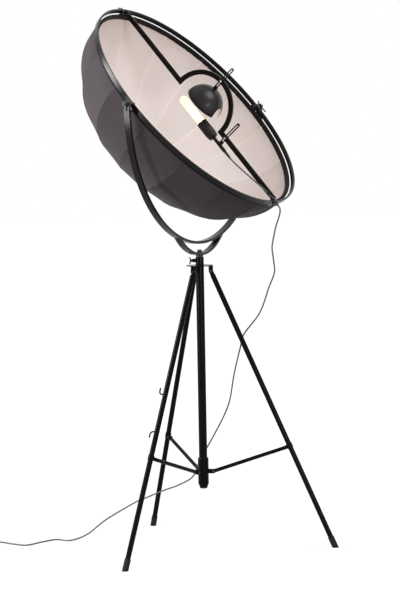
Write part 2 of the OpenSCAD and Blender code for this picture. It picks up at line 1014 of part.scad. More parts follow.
module shade_ribs() {
    color(steel)
        dish_frame()
            translate([0, 0, hoop_front])
                for (k = [0 : gores - 1])
                    rotate([0, 0, first_seam + k * gore_angle])
                        rotate([90, 0, 0])
                            translate([0, 0, -rib_w / 2])
                                linear_extrude(rib_w)
                                    rib_outline();
}

module apex_plate() {
    color(steel)
        dish_frame()
            translate([0, 0, hoop_front - rib_outer_d + apex_above])
                cylinder(r = apex_r, h = apex_t);
}

// ---------------------------------------------------------------- small reflector

module reflector_dome() {
    lug_low = dome_front + dome_radius - 3;
    color(black)
        dish_frame() {
            translate([0, -loop_drop, dome_front])
                difference() {
                    skin(dome_grid(dome_radius), dome_grid(dome_radius - dome_t),
                        [0, 0, dome_radius], [0, 0, dome_radius - dome_t]);
                    dome_notch();
                }
            translate([-strip_side + seat, -strip_middle - strip_w / 2, lug_low])
                cube([strip_side + bar_t, strip_w, dome_lug_l]);
        }
}

// Rings of the small dome's sheet, from its rim up
function dome_grid(radius) =
    [for (row = [0 : dome_rows - 1])
        let (angle = 90 * row / dome_rows)
        [for (column = [0 : dome_columns - 1])
            let (turn = -360 * column / dome_columns)
            radius * [cos(angle) * cos(turn), cos(angle) * sin(turn), sin(angle)]]];

// Arched notch on the lampholder's side of the dome
module dome_notch() {
    translate([-notch_w / 2, -2 * dome_radius, -1])
        cube([notch_w, 2 * dome_radius, notch_straight + 1]);
    translate([0, 0, notch_straight])
        along_y(notch_w, -2 * dome_radius, 0);
}

module reflector_strip() {
    color(black)
        dish_frame()
            slotted_strip(reflector_strip_start, -strip_middle);
}

module reflector_screw() {
    color("silver")
        dish_frame()
            translate([0, -strip_middle, loop_apex])
                strip_screw();
}

// ---------------------------------------------------------------- lampholder

module holder_strip() {
    color(black)
        dish_frame()
            slotted_strip(holder_strip_start, -holder_strip_drop);
}

module holder_screw() {
    color("silver")
        dish_frame()
            translate([0, -holder_strip_drop, bar_front])
                strip_screw();
}

// Stem, the block that carries it on the strip, and its cord gland
module holder_stem() {
    block = 14;
    color(black)
        dish_frame()
            difference() {
                union() {
                    translate([0, 0, -holder_back]) {
                        along_y(stem_d, stem_end, holder_end - seat);
                        translate([0, stem_end, 0])
                            rotate([90, 0, 0])
                                cylinder(d1 = stem_d - 2, d2 = cord_d + 1.5, h = gland_l);
                    }
                    translate([-strip_side + seat, -holder_strip_drop - strip_w / 2, -holder_back])
                        cube([strip_side + bar_t / 2, strip_w, block]);
                }
                translate([0, 0, -holder_back])
                    along_y(cord_d - 1, stem_end - gland_l - 1, holder_end + 5);
            }
}

module lampholder() {
    color("#232323")
        dish_frame()
            translate([0, 0, -holder_back])
                difference() {
                    union() {
                        along_y(holder_d, holder_end + 14, holder_mouth);
                        along_y(holder_d - 3, holder_end + 3, holder_end + 15);
                        translate([0, holder_end + 3, 0])
                            rotate([90, 0, 0])
                                cylinder(d1 = holder_d - 3, d2 = holder_d - 12, h = 3);
                    }
                    along_y(bulb_cap_d + 2 * gap, holder_mouth - bulb_cap_l - 2, holder_mouth + 1);
                }
}

module bulb_cap() {
    color("silver")
        dish_frame()
            translate([0, 0, -holder_back]) {
                along_y(bulb_cap_d, holder_mouth - bulb_cap_l, holder_mouth - 3);
                along_y(10, holder_mouth - bulb_cap_l - 1.7, holder_mouth - bulb_cap_l);
            }
}

// Tube of the bulb: a straight wall with a domed end, standing on its cap
module bulb_outline(outside_r, end) {
    straight = end - outside_r;
    square([outside_r, straight]);
    translate([0, straight])
        intersection() {
            circle(r = outside_r);
            square(outside_r);
        }
}

module bulb_glass() {
    low = holder_mouth - 3 + seat;
    length = bulb_length + 3;
    color("#ffe0a8", 0.5)
        dish_frame()
            translate([0, low, -holder_back])
                rotate([-90, 0, 0])
                    rotate_extrude()
                        difference() {
                            union() {
                                square([bulb_cap_d / 2, 9]);
                                translate([0, 6])
                                    bulb_outline(bulb_d / 2, length - 6);
                            }
                            translate([0, glass_t])
                                square([bulb_cap_d / 2 - glass_t, 9]);
                            translate([0, 6 + glass_t])
                                bulb_outline(bulb_d / 2 - glass_t, length - 6 - 2 * glass_t);
                        }
}

// Two carbon rods with cross ties, standing on the glass foot
module filament() {
    low = holder_mouth - 3 + glass_t + 2 * seat;
    rod = 1.2;
    color("#ffb347")
        dish_frame()
            translate([0, low, -holder_back]) {
                along_y(8, 0, 14);
                for (x = [-5, 5])
                    translate([x, 0, 0])
                        along_y(rod, 12, bulb_length - 22);
                for (y = [13, bulb_length - 23])
                    translate([0, y, 0])
                        along_x(rod, -5, 5);
            }
}

// ---------------------------------------------------------------- cord

// Lead from the stem, through the clip on the crossbar and over the ring, in the dish's frame
lead_route = [[0, -187.4, -24], [0, -196, -24], [-2, -215, -23], [-6, -250, -17], [-7, -300, -8],
    [-7.5, -350, 2], [-7.5, -376, 7], [-7.5, -394, 7], [-7, -405, 9], [-5, -414, 11], [-2, -421, 11],
    [0, -427, 8], [0, -432.5, 4.5]];
lead_end = [0, -437.5, 4];

// Free cord from the ring's foot to the coil
cord_route = [[252, -147, 1100], [245, -140, 1060], [236, -130, 1018], [232, -121, 988],
    [237, -109, 945], [239, -96, 908], [221, -75, 858], [192, -36, 775], [140, 14, 700], [128, 28, 655],
    [107, 36, 569], [91, 38, 482], [70, 38, 428], [42, 34, 376], [14, 26, 328], [-10, 23, 290],
    [-22, 19, 258], [-40, 28, 226], [-86, 58, 197], [-134, 85, 176], [-206, 110, 143], [-228, 118, 133],
    [-328, 142, 72], [-396, 160, 18], [-452, 138, 2.5], [-500, 158, 2.5], [-546, 121, 2.5],
    [-592, 72, 2.5], [-640, 95, 2.5], [-688, 133, 2.5], [-728, 134, 2.5], [-760, 134, 2.5]];

// A point of the dish's frame, in the stand's
function from_dish(p) =
    let (x = p[0], y = sin(dish_elevation) * p[1] - cos(dish_elevation) * p[2],
         z = cos(dish_elevation) * p[1] + sin(dish_elevation) * p[2])
    [cos(yoke_azimuth) * x - sin(yoke_azimuth) * y, sin(yoke_azimuth) * x + cos(yoke_azimuth) * y, tilt_z + z];
cord_start = [for (beyond = [gap, gap + cord_d]) from_dish(lead_end - [0, beyond, 0])];

function spline(a, b, c, d, t) =
    0.5 * (2 * b + (c - a) * t + (2 * a - 5 * b + 4 * c - d) * t * t + (3 * b - a - 3 * c + d) * t * t * t);

// The route with a point halfway along each stretch
function smooth(route) =
    let (last = len(route) - 1)
    concat([for (i = [0 : last - 1], t = [0, 0.5])
        spline(route[max(i - 1, 0)], route[i], route[i + 1], route[min(i + 2, last)], t)], [route[last]]);

function unit(v) = v / norm(v);
function direction(path, i) =
    let (last = len(path) - 1)
    unit(path[min(i + 1, last)] - path[max(i - 1, 0)]);

// A side direction square to the path that turns with it as little as it can
function next_side(side, forward) = unit(side - (side * forward) * forward);
function sides_along(path, i, side) =
    i == len(path) ? [] :
    let (now = next_side(side, direction(path, i)))
    concat([now], sides_along(path, i + 1, now));

module swept_tube(path, diameter, sides) {
    start = abs(direction(path, 0)[2]) > 0.8 ? [1, 0, 0] : [0, 0, 1];
    across_path = sides_along(path, 0, start);
    rings = len(path);
    points = [for (i = [0 : rings - 1], k = [0 : sides - 1])
        let (side = across_path[i],
             other = cross(direction(path, i), side),
             turn = 360 * k / sides)
        path[i] + diameter / 2 * (cos(turn) * side + sin(turn) * other)];
    walls = [for (i = [0 : rings - 2], k = [0 : sides - 1])
        let (a = i * sides + k,
             b = i * sides + (k + 1) % sides)
        each [[a, a + sides, b + sides], [a, b + sides, b]]];
    ends = [for (k = [1 : sides - 2])
        each [[0, k, k + 1], [(rings - 1) * sides, (rings - 1) * sides + k + 1, (rings - 1) * sides + k]]];
    polyhedron(points = points, faces = concat(walls, ends));
}

cord_color = "#57525a";

module lead_cord() {
    color(cord_color)
        dish_frame()
            swept_tube(concat(smooth(lead_route), [lead_end]), cord_d, cord_sides);
}

module hanging_cord() {
    color(cord_color)
        swept_tube(concat(cord_start, smooth(cord_route)), cord_d, cord_sides);
}

// Sizes of the plug, its tapered relief and its pins
plug_w = 34;
plug_t = 14;
plug_l = 36;
relief_l = 22;
relief_overlap = 4;
pin_length = 19;
pin_gap = 19;

// Coil on the floor: in for the lower layer, out for the upper one, then straight into the plug
coil_pitch = cord_d + 0.6;
coil_inner = 20;
coil_loops_in = 3;
coil_loops_out = 3.25;
coil_rings = 24;
coil_outer = coil_inner + coil_pitch * coil_loops_in;
coil_start = cord_route[len(cord_route) - 1] - [gap, 0, 0];
coil_middle = [coil_start[0], coil_start[1] - coil_outer, 0];
coil_tail = coil_outer + cord_d / 2 + 3 * gap - relief_l + relief_overlap;

function coil_at(loop) =
    let (inwards = loop <= coil_loops_in,
         r = inwards ? coil_outer - coil_pitch * loop : coil_inner + coil_pitch * (loop - coil_loops_in),
         climb = min(1, max(0, (loop - coil_loops_in + 0.25) * 2)),
         turn = 90 + 360 * loop)
    coil_middle + [r * cos(turn), r * sin(turn), cord_d / 2 + coil_pitch * climb];

coil_wound = [for (i = [0 : (coil_loops_in + coil_loops_out) * coil_rings]) coil_at(i / coil_rings)];
coil_end = coil_wound[len(coil_wound) - 1];
coil_path = concat(coil_wound, [coil_end + [0, -coil_tail, 0]]);

// Least distance between stretches of the coil that lie more than half a loop apart, less the cord's own diameter
coil_gap = min([for (i = [0 : len(coil_wound) - 1], j = [i + coil_rings / 2 : len(coil_wound) - 1])
    norm(coil_wound[i] - coil_wound[j])]) - cord_d;
echo(least_gap_in_coil = coil_gap);  // cord_coil

module cord_coil() {
    color(cord_color)
        swept_tube(coil_path, cord_d, 6);
}

// Flat two-pin plug with its tapered cord relief, lying on its side beside the coil
module plug() {
    lift = coil_end[2] - plug_t / 2;
    color("#1a1a1a")
        translate(coil_end + [0, -coil_tail - seat, -lift])
            rotate([90, 0, 0]) {
                translate([0, lift, 0])
                    cylinder(d1 = cord_d + 2, d2 = plug_t - 4, h = relief_l);
                translate([0, 0, relief_l - relief_overlap])
                    plug_body();
            }
    color("silver")
        translate(coil_end + [0, -coil_tail - seat - relief_l + relief_overlap - plug_l, -lift])
            for (side = [-1, 1])
                translate([side * pin_gap / 2, 0, 0])
                    along_y(4, -pin_length, 1);
}

module plug_body() {
    linear_extrude(plug_l)
        union() {
            square([plug_w - plug_t, plug_t], center = true);
            for (side = [-1, 1])
                translate([side * (plug_w - plug_t) / 2, 0])
                    circle(d = plug_t);
        }
}

// ---------------------------------------------------------------- assembly

column_tube();
column_cap();
column_bush();
head_plate();
leg_brackets();
leg_pins();
collar();
collar_bolts();
clamp_boss();
clamp_screw();
leg_tube(leg_azimuths[0]);  // leg_tube_a
leg_tube(leg_azimuths[1]);  // leg_tube_b
leg_tube(leg_azimuths[2]);  // leg_tube_c
foot(leg_azimuths[0]);  // foot_a
foot(leg_azimuths[1]);  // foot_b
foot(leg_azimuths[2]);  // foot_c
strut_bracket(leg_azimuths[0]);  // strut_bracket_a
strut_bracket(leg_azimuths[1]);  // strut_bracket_b
strut_bracket(leg_azimuths[2]);  // strut_bracket_c
cord_hooks();
strut(leg_azimuths[0]);  // strut_a
strut(leg_azimuths[1]);  // strut_b
strut(leg_azimuths[2]);  // strut_c
mast_tube();
mast_guide();
swivel_pin();
swivel_nut();
yoke_bar();
yoke_stirrup();
yoke_hub();
wing_nut(-1, near_wing_turn);  // wing_nut_near
wing_nut(1, far_wing_turn);  // wing_nut_far
frame_ring();
shade_hoop();
shade_cover();
shade_lining();
shade_ribs();
apex_plate();
ring_brackets();
ring_bolts();
pivot_screws();
pivot_spacers();
crossbar();
cord_clip();
reflector_strip();
reflector_screw();
reflector_dome();
holder_strip();
holder_screw();
holder_stem();
lampholder();
bulb_cap();
bulb_glass();
filament();
lead_cord();
hanging_cord();
cord_coil();
plug();
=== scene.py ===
import json
import math

import bmesh
import bpy
from mathutils import Matrix, Vector


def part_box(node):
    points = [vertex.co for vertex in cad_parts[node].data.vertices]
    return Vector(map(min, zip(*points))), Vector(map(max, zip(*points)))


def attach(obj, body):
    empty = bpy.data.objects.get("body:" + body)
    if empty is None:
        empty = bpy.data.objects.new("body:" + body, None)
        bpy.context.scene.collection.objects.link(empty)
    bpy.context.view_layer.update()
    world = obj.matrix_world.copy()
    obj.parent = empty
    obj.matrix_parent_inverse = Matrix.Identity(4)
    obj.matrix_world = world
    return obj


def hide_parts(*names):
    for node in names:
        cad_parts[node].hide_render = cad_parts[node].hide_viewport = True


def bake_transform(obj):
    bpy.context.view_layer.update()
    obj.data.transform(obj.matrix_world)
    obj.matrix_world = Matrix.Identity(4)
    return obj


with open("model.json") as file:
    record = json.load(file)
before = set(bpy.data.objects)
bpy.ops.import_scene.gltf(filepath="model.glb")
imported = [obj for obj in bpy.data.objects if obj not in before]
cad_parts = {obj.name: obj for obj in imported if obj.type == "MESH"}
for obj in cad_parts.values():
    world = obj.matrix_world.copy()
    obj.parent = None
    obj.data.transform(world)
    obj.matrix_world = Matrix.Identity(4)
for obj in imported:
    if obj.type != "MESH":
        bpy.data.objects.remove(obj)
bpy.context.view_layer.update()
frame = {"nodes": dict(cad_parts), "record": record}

# Tripod spotlight floor lamp. Metres, Z up, the floor at z = 0, the column on the Z axis.
scene = bpy.context.scene
scene.view_settings.view_transform = "Standard"
mm = 0.001
print("frame loaded:", len(frame["nodes"]), "nodes")


# Camera: stands in front, level with the dish's lower half, and looks slightly down
cameraValues = {"place": (0.0, -6.5045, 1.3248), "yaw": 0.011, "pitch": -4.468, "roll": 1.013, "lens": 120.0,
                "sensor": 36.0, "clipEnd": 200.0}


def makeCamera(values):
    data = bpy.data.cameras.new("camera")
    data.lens = values["lens"]
    data.sensor_width = values["sensor"]
    data.clip_end = values["clipEnd"]
    camera = bpy.data.objects.new("camera", data)
    turn = (Matrix.Rotation(math.radians(values["yaw"]), 3, "Z")
            @ Matrix.Rotation(math.radians(values["pitch"]), 3, "X")
            @ Matrix.Rotation(math.radians(values["roll"]), 3, "Y"))
    right, forward, up = turn.col[0], turn.col[1], turn.col[2]
    camera.matrix_world = Matrix.Translation(values["place"]) @ Matrix(
        [(right[i], up[i], -forward[i]) for i in range(3)]).to_4x4()
    scene.collection.objects.link(camera)
    scene.camera = camera


makeCamera(cameraValues)


# Mesh helpers
def meshObject(name, points, faces, layers=None, smooth=True):
    data = bpy.data.meshes.new(name)
    data.from_pydata([tuple(p) for p in points], [], faces)
    for layerName, faceUvs in (layers or {}).items():
        layer = data.uv_layers.new(name=layerName)
        flat = [value for face in faceUvs for uv in face for value in uv]
        layer.data.foreach_set("uv", flat)
    data.validate()
    data.update()
    if smooth:
        data.polygons.foreach_set("use_smooth", [True] * len(data.polygons))
    made = bpy.data.objects.new(name, data)
    scene.collection.objects.link(made)
    return made


def turnNormalsOut(made):
    work = bmesh.new()
    work.from_mesh(made.data)
    bmesh.ops.recalc_face_normals(work, faces=work.faces)
    work.to_mesh(made.data)
    work.free()


def smoothstep(low, high, value):
    share = min(1.0, max(0.0, (value - low) / (high - low)))
    return share * share * (3 - 2 * share)


# The dish's own frame: X along the tilt axis, Y up the crossbar, Z out of its mouth
dishValues = {"swivel": 61.3, "lift": 41.0, "pivotHeight": 1.449}
swivel, lift = math.radians(dishValues["swivel"]), math.radians(dishValues["lift"])
outward = Vector((math.sin(swivel), -math.cos(swivel), 0))
dishX = Vector((math.cos(swivel), math.sin(swivel), 0))
dishY = -math.sin(lift) * outward + math.cos(lift) * Vector((0, 0, 1))
dishZ = math.cos(lift) * outward + math.sin(lift) * Vector((0, 0, 1))
pivot = Vector((0, 0, dishValues["pivotHeight"]))


def fromDish(x, y, z):
    return pivot + dishX * x + dishY * y + dishZ * z


# Cords: the solids' route in millimetres, first in the dish's frame, then in the floor's. Just below the ring
# it is a little rounder than the solid's.
cordValues = {
    "diameter": 5 * mm, "sides": 14, "step": 5 * mm,
    "leadRoute": [(0, -187.4, -24), (0, -196, -24), (-2, -215, -23), (-6, -250, -17), (-7, -300, -8),
                  (-7.5, -350, 2), (-7.5, -376, 7), (-7.5, -394, 7), (-7, -405, 9), (-5, -414, 11),
                  (-2, -421, 11), (0, -427, 8), (0, -432.5, 4.5), (0, -437.5, 4)],
    "route": [(258.5, -144.5, 1107), (256, -145.5, 1094), (250.5, -143.5, 1076), (245, -140, 1060),
              (236, -130, 1018), (232, -121, 988), (237, -109, 945), (239, -96, 908), (221, -75, 858),
              (192, -36, 775), (140, 14, 700), (128, 28, 655), (107, 36, 569), (91, 38, 482), (70, 38, 428),
              (42, 34, 376), (14, 26, 328), (-10, 23, 290), (-22, 19, 258), (-40, 28, 226), (-86, 58, 197),
              (-134, 85, 176), (-206, 110, 143), (-228, 118, 133), (-328, 142, 72), (-396, 160, 18),
              (-452, 138, 2.5), (-500, 158, 2.5), (-546, 121, 2.5), (-592, 72, 2.5), (-640, 95, 2.5),
              (-688, 133, 2.5), (-728, 134, 2.5), (-760, 134, 2.5)],
    # The hanging cord's first points, this far past the lead's end
    "hangFrom": (0.3, 5.3),
    # In metres: the clip's distance down the crossbar, and the heights at which the cord changes body
    "clipDown": 0.388, "cutHeights": (0.895, 0.785, 0.33),
    "coilInner": 20, "coilPitch": 5.6, "loopsIn": 3, "loopsOut": 3.25, "ringsPerLoop": 48, "overlap": 0.3,
    "onFloor": 2.5, "climbLead": 0.25, "climbLoops": 0.5, "tail": 22.2,
}


def spline(a, b, c, d, t):
    # A point between b and c of the smooth line through all four
    return 0.5 * (2 * b + (c - a) * t + (2 * a - 5 * b + 4 * c - d) * t * t
                  + (3 * b - a - 3 * c + d) * t ** 3)


def throughPoints(points, step):
    # One smooth line through the points, in steps of about the given length
    last = len(points) - 1
    line = []
    for i in range(last):
        count = max(1, round((points[i + 1] - points[i]).length / step))
        four = [points[max(i - 1, 0)], points[i], points[i + 1], points[min(i + 2, last)]]
        for k in range(count):
            line.append(spline(*four, k / count))
    return line + [points[last]]


def coilPoints(v):
    # A flat coil that winds inwards, climbs, and winds out again on top of itself
    outer = v["coilInner"] + v["coilPitch"] * v["loopsIn"]
    start = Vector(v["route"][-1]) - Vector((v["overlap"], 0, 0))
    middle = Vector((start.x, start.y - outer, 0))
    points = []
    for i in range(int((v["loopsIn"] + v["loopsOut"]) * v["ringsPerLoop"]) + 1):
        loop = i / v["ringsPerLoop"]
        if loop <= v["loopsIn"]:
            radius = outer - v["coilPitch"] * loop
        else:
            radius = v["coilInner"] + v["coilPitch"] * (loop - v["loopsIn"])
        climb = min(1, max(0, (loop - v["loopsIn"] + v["climbLead"]) / v["climbLoops"]))
        turn = math.radians(90 + 360 * loop)
        points.append(middle + Vector((radius * math.cos(turn), radius * math.sin(turn),
                                       v["onFloor"] + v["coilPitch"] * climb)))
    return points, middle


def pathFrames(path):
    # A side direction for each ring that turns with the path as little as it can
    last = len(path) - 1
    forwards = [(path[min(i + 1, last)] - path[max(i - 1, 0)]).normalized() for i in range(last + 1)]
    startsUpright = abs(forwards[0].z) > 0.8
    side = Vector((1, 0, 0)) if startsUpright else Vector((0, 0, 1))
    frames = []
    for forward in forwards:
        side = (side - side.dot(forward) * forward).normalized()
        frames.append((side, forward.cross(side)))
    return frames


def pathLength(path):
    return sum((b - a).length for a, b in zip(path, path[1:]))


def tubeObject(name, path, frames, radii, sides, start=0.0):
    # A closed tube on the path, with a strand map: round it, then along it in metres
    points, faces, strand = [], [], []
    for p, (side, other), radius in zip(path, frames, radii):
        for k in range(sides):
            turn = 2 * math.pi * k / sides
            points.append(p + radius * (math.cos(turn) * side + math.sin(turn) * other))
    along = start
    for i in range(len(path) - 1):
        nextAlong = along + (path[i + 1] - path[i]).length
        for k in range(sides):
            a, b = i * sides + k, i * sides + (k + 1) % sides
            faces.append((a, a + sides, b + sides, b))
            strand.append(((k / sides, along), (k / sides, nextAlong),
                           ((k + 1) / sides, nextAlong), ((k + 1) / sides, along)))
        along = nextAlong
    for base, order in ((0, 1), ((len(path) - 1) * sides, -1)):
        faces.append(tuple(base + k for k in range(sides))[::order])
        strand.append(tuple((0.5, along) for k in range(sides)))
    made = meshObject(name, points, faces, {"strand": strand})
    turnNormalsOut(made)
    return made


def makeCords(v):
    lead = throughPoints([fromDish(*(c * mm for c in p)) for p in v["leadRoute"]], v["step"])
    leadFrames = pathFrames(lead)
    leadEnd = Vector(v["leadRoute"][-1])
    hangPoints = [fromDish(*((leadEnd - Vector((0, beyond, 0))) * mm)) for beyond in v["hangFrom"]]
    hangPoints += [Vector(p) * mm for p in v["route"]]
    hang = throughPoints(hangPoints, v["step"])
    coil, middle = coilPoints(v)
    coil = [p * mm for p in coil]
    tail = [coil[-1] + Vector((0, -v["tail"] * mm * share, 0)) for share in (0.25, 0.5, 0.75, 1.0)]
    whole = hang + coil[1:] + tail
    frames = pathFrames(whole)

    clip = next(i for i, p in enumerate(lead) if (p - pivot).dot(dishY) < -v["clipDown"])
    cuts = [0]
    for height in v["cutHeights"]:
        cuts.append(next(i for i, p in enumerate(whole) if p.z < height))
    cuts.append(len(whole) - 1)
    spans = [("leadFromLamp", lead, leadFrames, 0, clip),
             ("leadOverRing", lead, leadFrames, clip, len(lead) - 1)]
    spans += [(name, whole, frames, cuts[i], cuts[i + 1])
              for i, name in enumerate(("cordBelowDish", "cordBesideYoke", "cordBesideMast", "cordToPlug"))]
    made = {}
    for name, path, pathSides, first, last in spans:
        part = path[first:last + 1]
        radii = [v["diameter"] / 2] * len(part)
        start = pathLength(path[:first + 1])
        made[name] = (tubeObject(name, part, pathSides[first:last + 1], radii, v["sides"], start), part)
    return made, middle * mm


cords, coilMiddle = makeCords(cordValues)
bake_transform(cords["leadFromLamp"][0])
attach(cords["leadOverRing"][0], "dish")
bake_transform(cords["cordBelowDish"][0])
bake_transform(cords["cordBesideYoke"][0])
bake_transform(cords["cordBesideMast"][0])
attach(cords["cordToPlug"][0], "stand")
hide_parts("lead_cord")
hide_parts("hanging_cord", "cord_coil")
print("cords laid:", round(sum(pathLength(path) for tube, path in cords.values()), 3), "m")


# Node helpers: inputs may be numbers, colours or sockets of other nodes
def put(tree, kind, props=None, inputs=None):
    made = tree.nodes.new(kind)
    for key, value in (props or {}).items():
        setattr(made, key, value)
    for key, value in (inputs or {}).items():
        if isinstance(value, bpy.types.NodeSocket):
            tree.links.new(value, made.inputs[key])
        else:
            made.inputs[key].default_value = value
    return made


def math2(tree, operation, a, b=0.0, clamp=False):
    return put(tree, "ShaderNodeMath", {"operation": operation, "use_clamp": clamp}, {0: a, 1: b}).outputs[0]


def mapTo(tree, value, fromLow, fromHigh, toLow, toHigh):
    return put(tree, "ShaderNodeMapRange", None,
               {"Value": value, 1: fromLow, 2: fromHigh, 3: toLow, 4: toHigh}).outputs[0]


def fromNoise(tree, noise, low=0.0, high=1.0):
    # Noise lies mostly between 0.3 and 0.7
    return mapTo(tree, noise, 0.3, 0.7, low, high)


def mixColour(tree, factor, a, b):
    return put(tree, "ShaderNodeMix", {"data_type": "RGBA"}, {0: factor, 6: a, 7: b}).outputs[2]


def effectGroup(name, inputs, outputs):
    tree = bpy.data.node_groups.new(name, "ShaderNodeTree")
    for label, kind, value in inputs:
        socket = tree.interface.new_socket(name=label, in_out="INPUT", socket_type="NodeSocket" + kind)
        if value is not None:
            socket.default_value = value
    for label, kind in outputs:
        tree.interface.new_socket(name=label, in_out="OUTPUT", socket_type="NodeSocket" + kind)
    return tree, put(tree, "NodeGroupInput").outputs, put(tree, "NodeGroupOutput").inputs


# Fine grain of a finish: even small bumps, and larger soft patches
def fineGrainGroup():
    tree, given, result = effectGroup(
        "fineGrain", [("Vector", "Vector", None), ("Scale", "Float", 900.0), ("Patch Scale", "Float", 14.0)],
        [("Grain", "Float"), ("Patch", "Float")])
    small = put(tree, "ShaderNodeTexNoise", None,
                {"Vector": given["Vector"], "Scale": given["Scale"], "Detail": 3.0, "Roughness": 0.55})
    large = put(tree, "ShaderNodeTexNoise", None,
                {"Vector": given["Vector"], "Scale": given["Patch Scale"], "Detail": 4.0, "Roughness": 0.6})
    tree.links.new(small.outputs[0], result["Grain"])
    tree.links.new(fromNoise(tree, large.outputs[0]), result["Patch"])
    return tree


# Rounded edges, and a broken mask of where they're rubbed through
def edgeWearGroup():
    tree, given, result = effectGroup(
        "edgeWear", [("Vector", "Vector", None), ("Radius", "Float", 0.0008), ("Amount", "Float", 0.5)],
        [("Mask", "Float"), ("Normal", "Vector")])
    bevel = put(tree, "ShaderNodeBevel", {"samples": 4}, {"Radius": given["Radius"]})
    geometry = put(tree, "ShaderNodeNewGeometry")
    along = put(tree, "ShaderNodeVectorMath", {"operation": "DOT_PRODUCT"},
                {0: bevel.outputs[0], 1: geometry.outputs["Normal"]}).outputs["Value"]
    straight, turned = 0.985, 0.86      # cosines between the face and its rounded edge
    edge = mapTo(tree, along, straight, turned, 0.0, 1.0)
    broken = put(tree, "ShaderNodeTexNoise", None, {"Vector": given["Vector"], "Scale": 160.0, "Detail": 4.0})
    mask = math2(tree, "MULTIPLY", edge, mapTo(tree, broken.outputs[0], 0.5, 0.68, 0.0, 1.0))
    tree.links.new(math2(tree, "MULTIPLY", mask, given["Amount"], True), result["Mask"])
    tree.links.new(bevel.outputs[0], result["Normal"])
    return tree


# Fine dust that settles on faces that look up
def dustGroup():
    tree, given, result = effectGroup(
        "settledDust", [("Vector", "Vector", None), ("Amount", "Float", 0.2)], [("Mask", "Float")])
    geometry = put(tree, "ShaderNodeNewGeometry")
    parts = put(tree, "ShaderNodeSeparateXYZ", None, {0: geometry.outputs["Normal"]})
    cloud = put(tree, "ShaderNodeTexNoise", None, {"Vector": given["Vector"], "Scale": 60.0, "Detail": 5.0})
    upward = mapTo(tree, parts.outputs["Z"], 0.2, 1.0, 0.0, 1.0)
    spread = math2(tree, "MULTIPLY", upward, mapTo(tree, cloud.outputs[0], 0.4, 0.75, 0.0, 1.0))
    tree.links.new(math2(tree, "MULTIPLY", spread, given["Amount"], True), result["Mask"])
    return tree


# Plain weave from a map in metres: threads over and under each other
def weaveGroup():
    tree, given, result = effectGroup(
        "plainWeave", [("Vector", "Vector", None), ("Pitch", "Float", 0.0007)],
        [("Height", "Float"), ("Thread", "Float")])
    scaled = put(tree, "ShaderNodeVectorMath", {"operation": "SCALE"}, {0: given["Vector"]})
    tree.links.new(math2(tree, "DIVIDE", math.pi, given["Pitch"]), scaled.inputs["Scale"])
    parts = put(tree, "ShaderNodeSeparateXYZ", None, {0: scaled.outputs[0]})
    across = math2(tree, "SINE", parts.outputs["X"])
    along = math2(tree, "SINE", parts.outputs["Y"])
    height = math2(tree, "ABSOLUTE", math2(tree, "MULTIPLY", across, along))
    slub = put(tree, "ShaderNodeTexNoise", None, {"Vector": given["Vector"], "Scale": 380.0, "Detail": 3.0})
    tree.links.new(height, result["Height"])
    tree.links.new(fromNoise(tree, slub.outputs[0]), result["Thread"])
    return tree


# Braid of two crossing sets of yarns, from a strand map
def braidGroup():
    tree, given, result = effectGroup(
        "cordBraid", [("Vector", "Vector", None), ("Yarns", "Float", 8.0), ("Lay", "Float", 0.011)],
        [("Height", "Float"), ("Fleck", "Float")])
    parts = put(tree, "ShaderNodeSeparateXYZ", None, {0: given["Vector"]})
    around = math2(tree, "MULTIPLY", parts.outputs["X"], given["Yarns"])
    along = math2(tree, "MULTIPLY", math2(tree, "DIVIDE", parts.outputs["Y"], given["Lay"]), given["Yarns"])
    waves = []
    for operation in ("ADD", "SUBTRACT"):
        phase = math2(tree, "MULTIPLY", math2(tree, operation, around, along), math.pi)
        waves.append(math2(tree, "ABSOLUTE", math2(tree, "SINE", phase)))
    height = math2(tree, "MULTIPLY", waves[0], waves[1])
    fleck = put(tree, "ShaderNodeTexWhiteNoise", {"noise_dimensions": "2D"})
    cell = put(tree, "ShaderNodeCombineXYZ", None,
               {"X": math2(tree, "FLOOR", math2(tree, "ADD", around, along)),
                "Y": math2(tree, "FLOOR", math2(tree, "SUBTRACT", around, along))})
    tree.links.new(cell.outputs[0], fleck.inputs["Vector"])
    tree.links.new(height, result["Height"])
    tree.links.new(fleck.outputs["Value"], result["Fleck"])
    return tree


# A flat seam: a line with a row of stitches at each side, from a map whose X is the distance to the seam
def seamGroup():
    tree, given, result = effectGroup(
        "flatSeam", [("Vector", "Vector", None), ("Width", "Float", 0.004), ("Stitch", "Float", 0.0032)],
        [("Line", "Float"), ("Thread", "Float")])
    parts = put(tree, "ShaderNodeSeparateXYZ", None, {0: given["Vector"]})
    line = math2(tree, "SUBTRACT", 1.0, math2(tree, "DIVIDE", parts.outputs["X"], given["Width"]), True)
    rowPlace, rowInner, rowOuter, stitchShare = 0.7, 0.0003, 0.0007, 0.68
    offset = math2(tree, "SUBTRACT", parts.outputs["X"], math2(tree, "MULTIPLY", given["Width"], rowPlace))
    row = mapTo(tree, math2(tree, "ABSOLUTE", offset), rowInner, rowOuter, 1.0, 0.0)
    dash = math2(tree, "FRACT", math2(tree, "DIVIDE", parts.outputs["Y"], given["Stitch"]))
    stitch = math2(tree, "LESS_THAN", dash, stitchShare)
    tree.links.new(line, result["Line"])
    tree.links.new(math2(tree, "MULTIPLY", row, stitch), result["Thread"])
    return tree


# Lines of a drawn or brushed metal along Z
def drawnMetalGroup():
    tree, given, result = effectGroup(
        "drawnLines", [("Vector", "Vector", None), ("Scale", "Float", 700.0)], [("Line", "Float")])
    stretched = put(tree, "ShaderNodeMapping", None, {"Vector": given["Vector"], "Scale": (1.0, 1.0, 0.06)})
    lines = put(tree, "ShaderNodeTexNoise", None,
                {"Vector": stretched.outputs[0], "Scale": given["Scale"], "Detail": 2.0})
    tree.links.new(lines.outputs[0], result["Line"])
    return tree


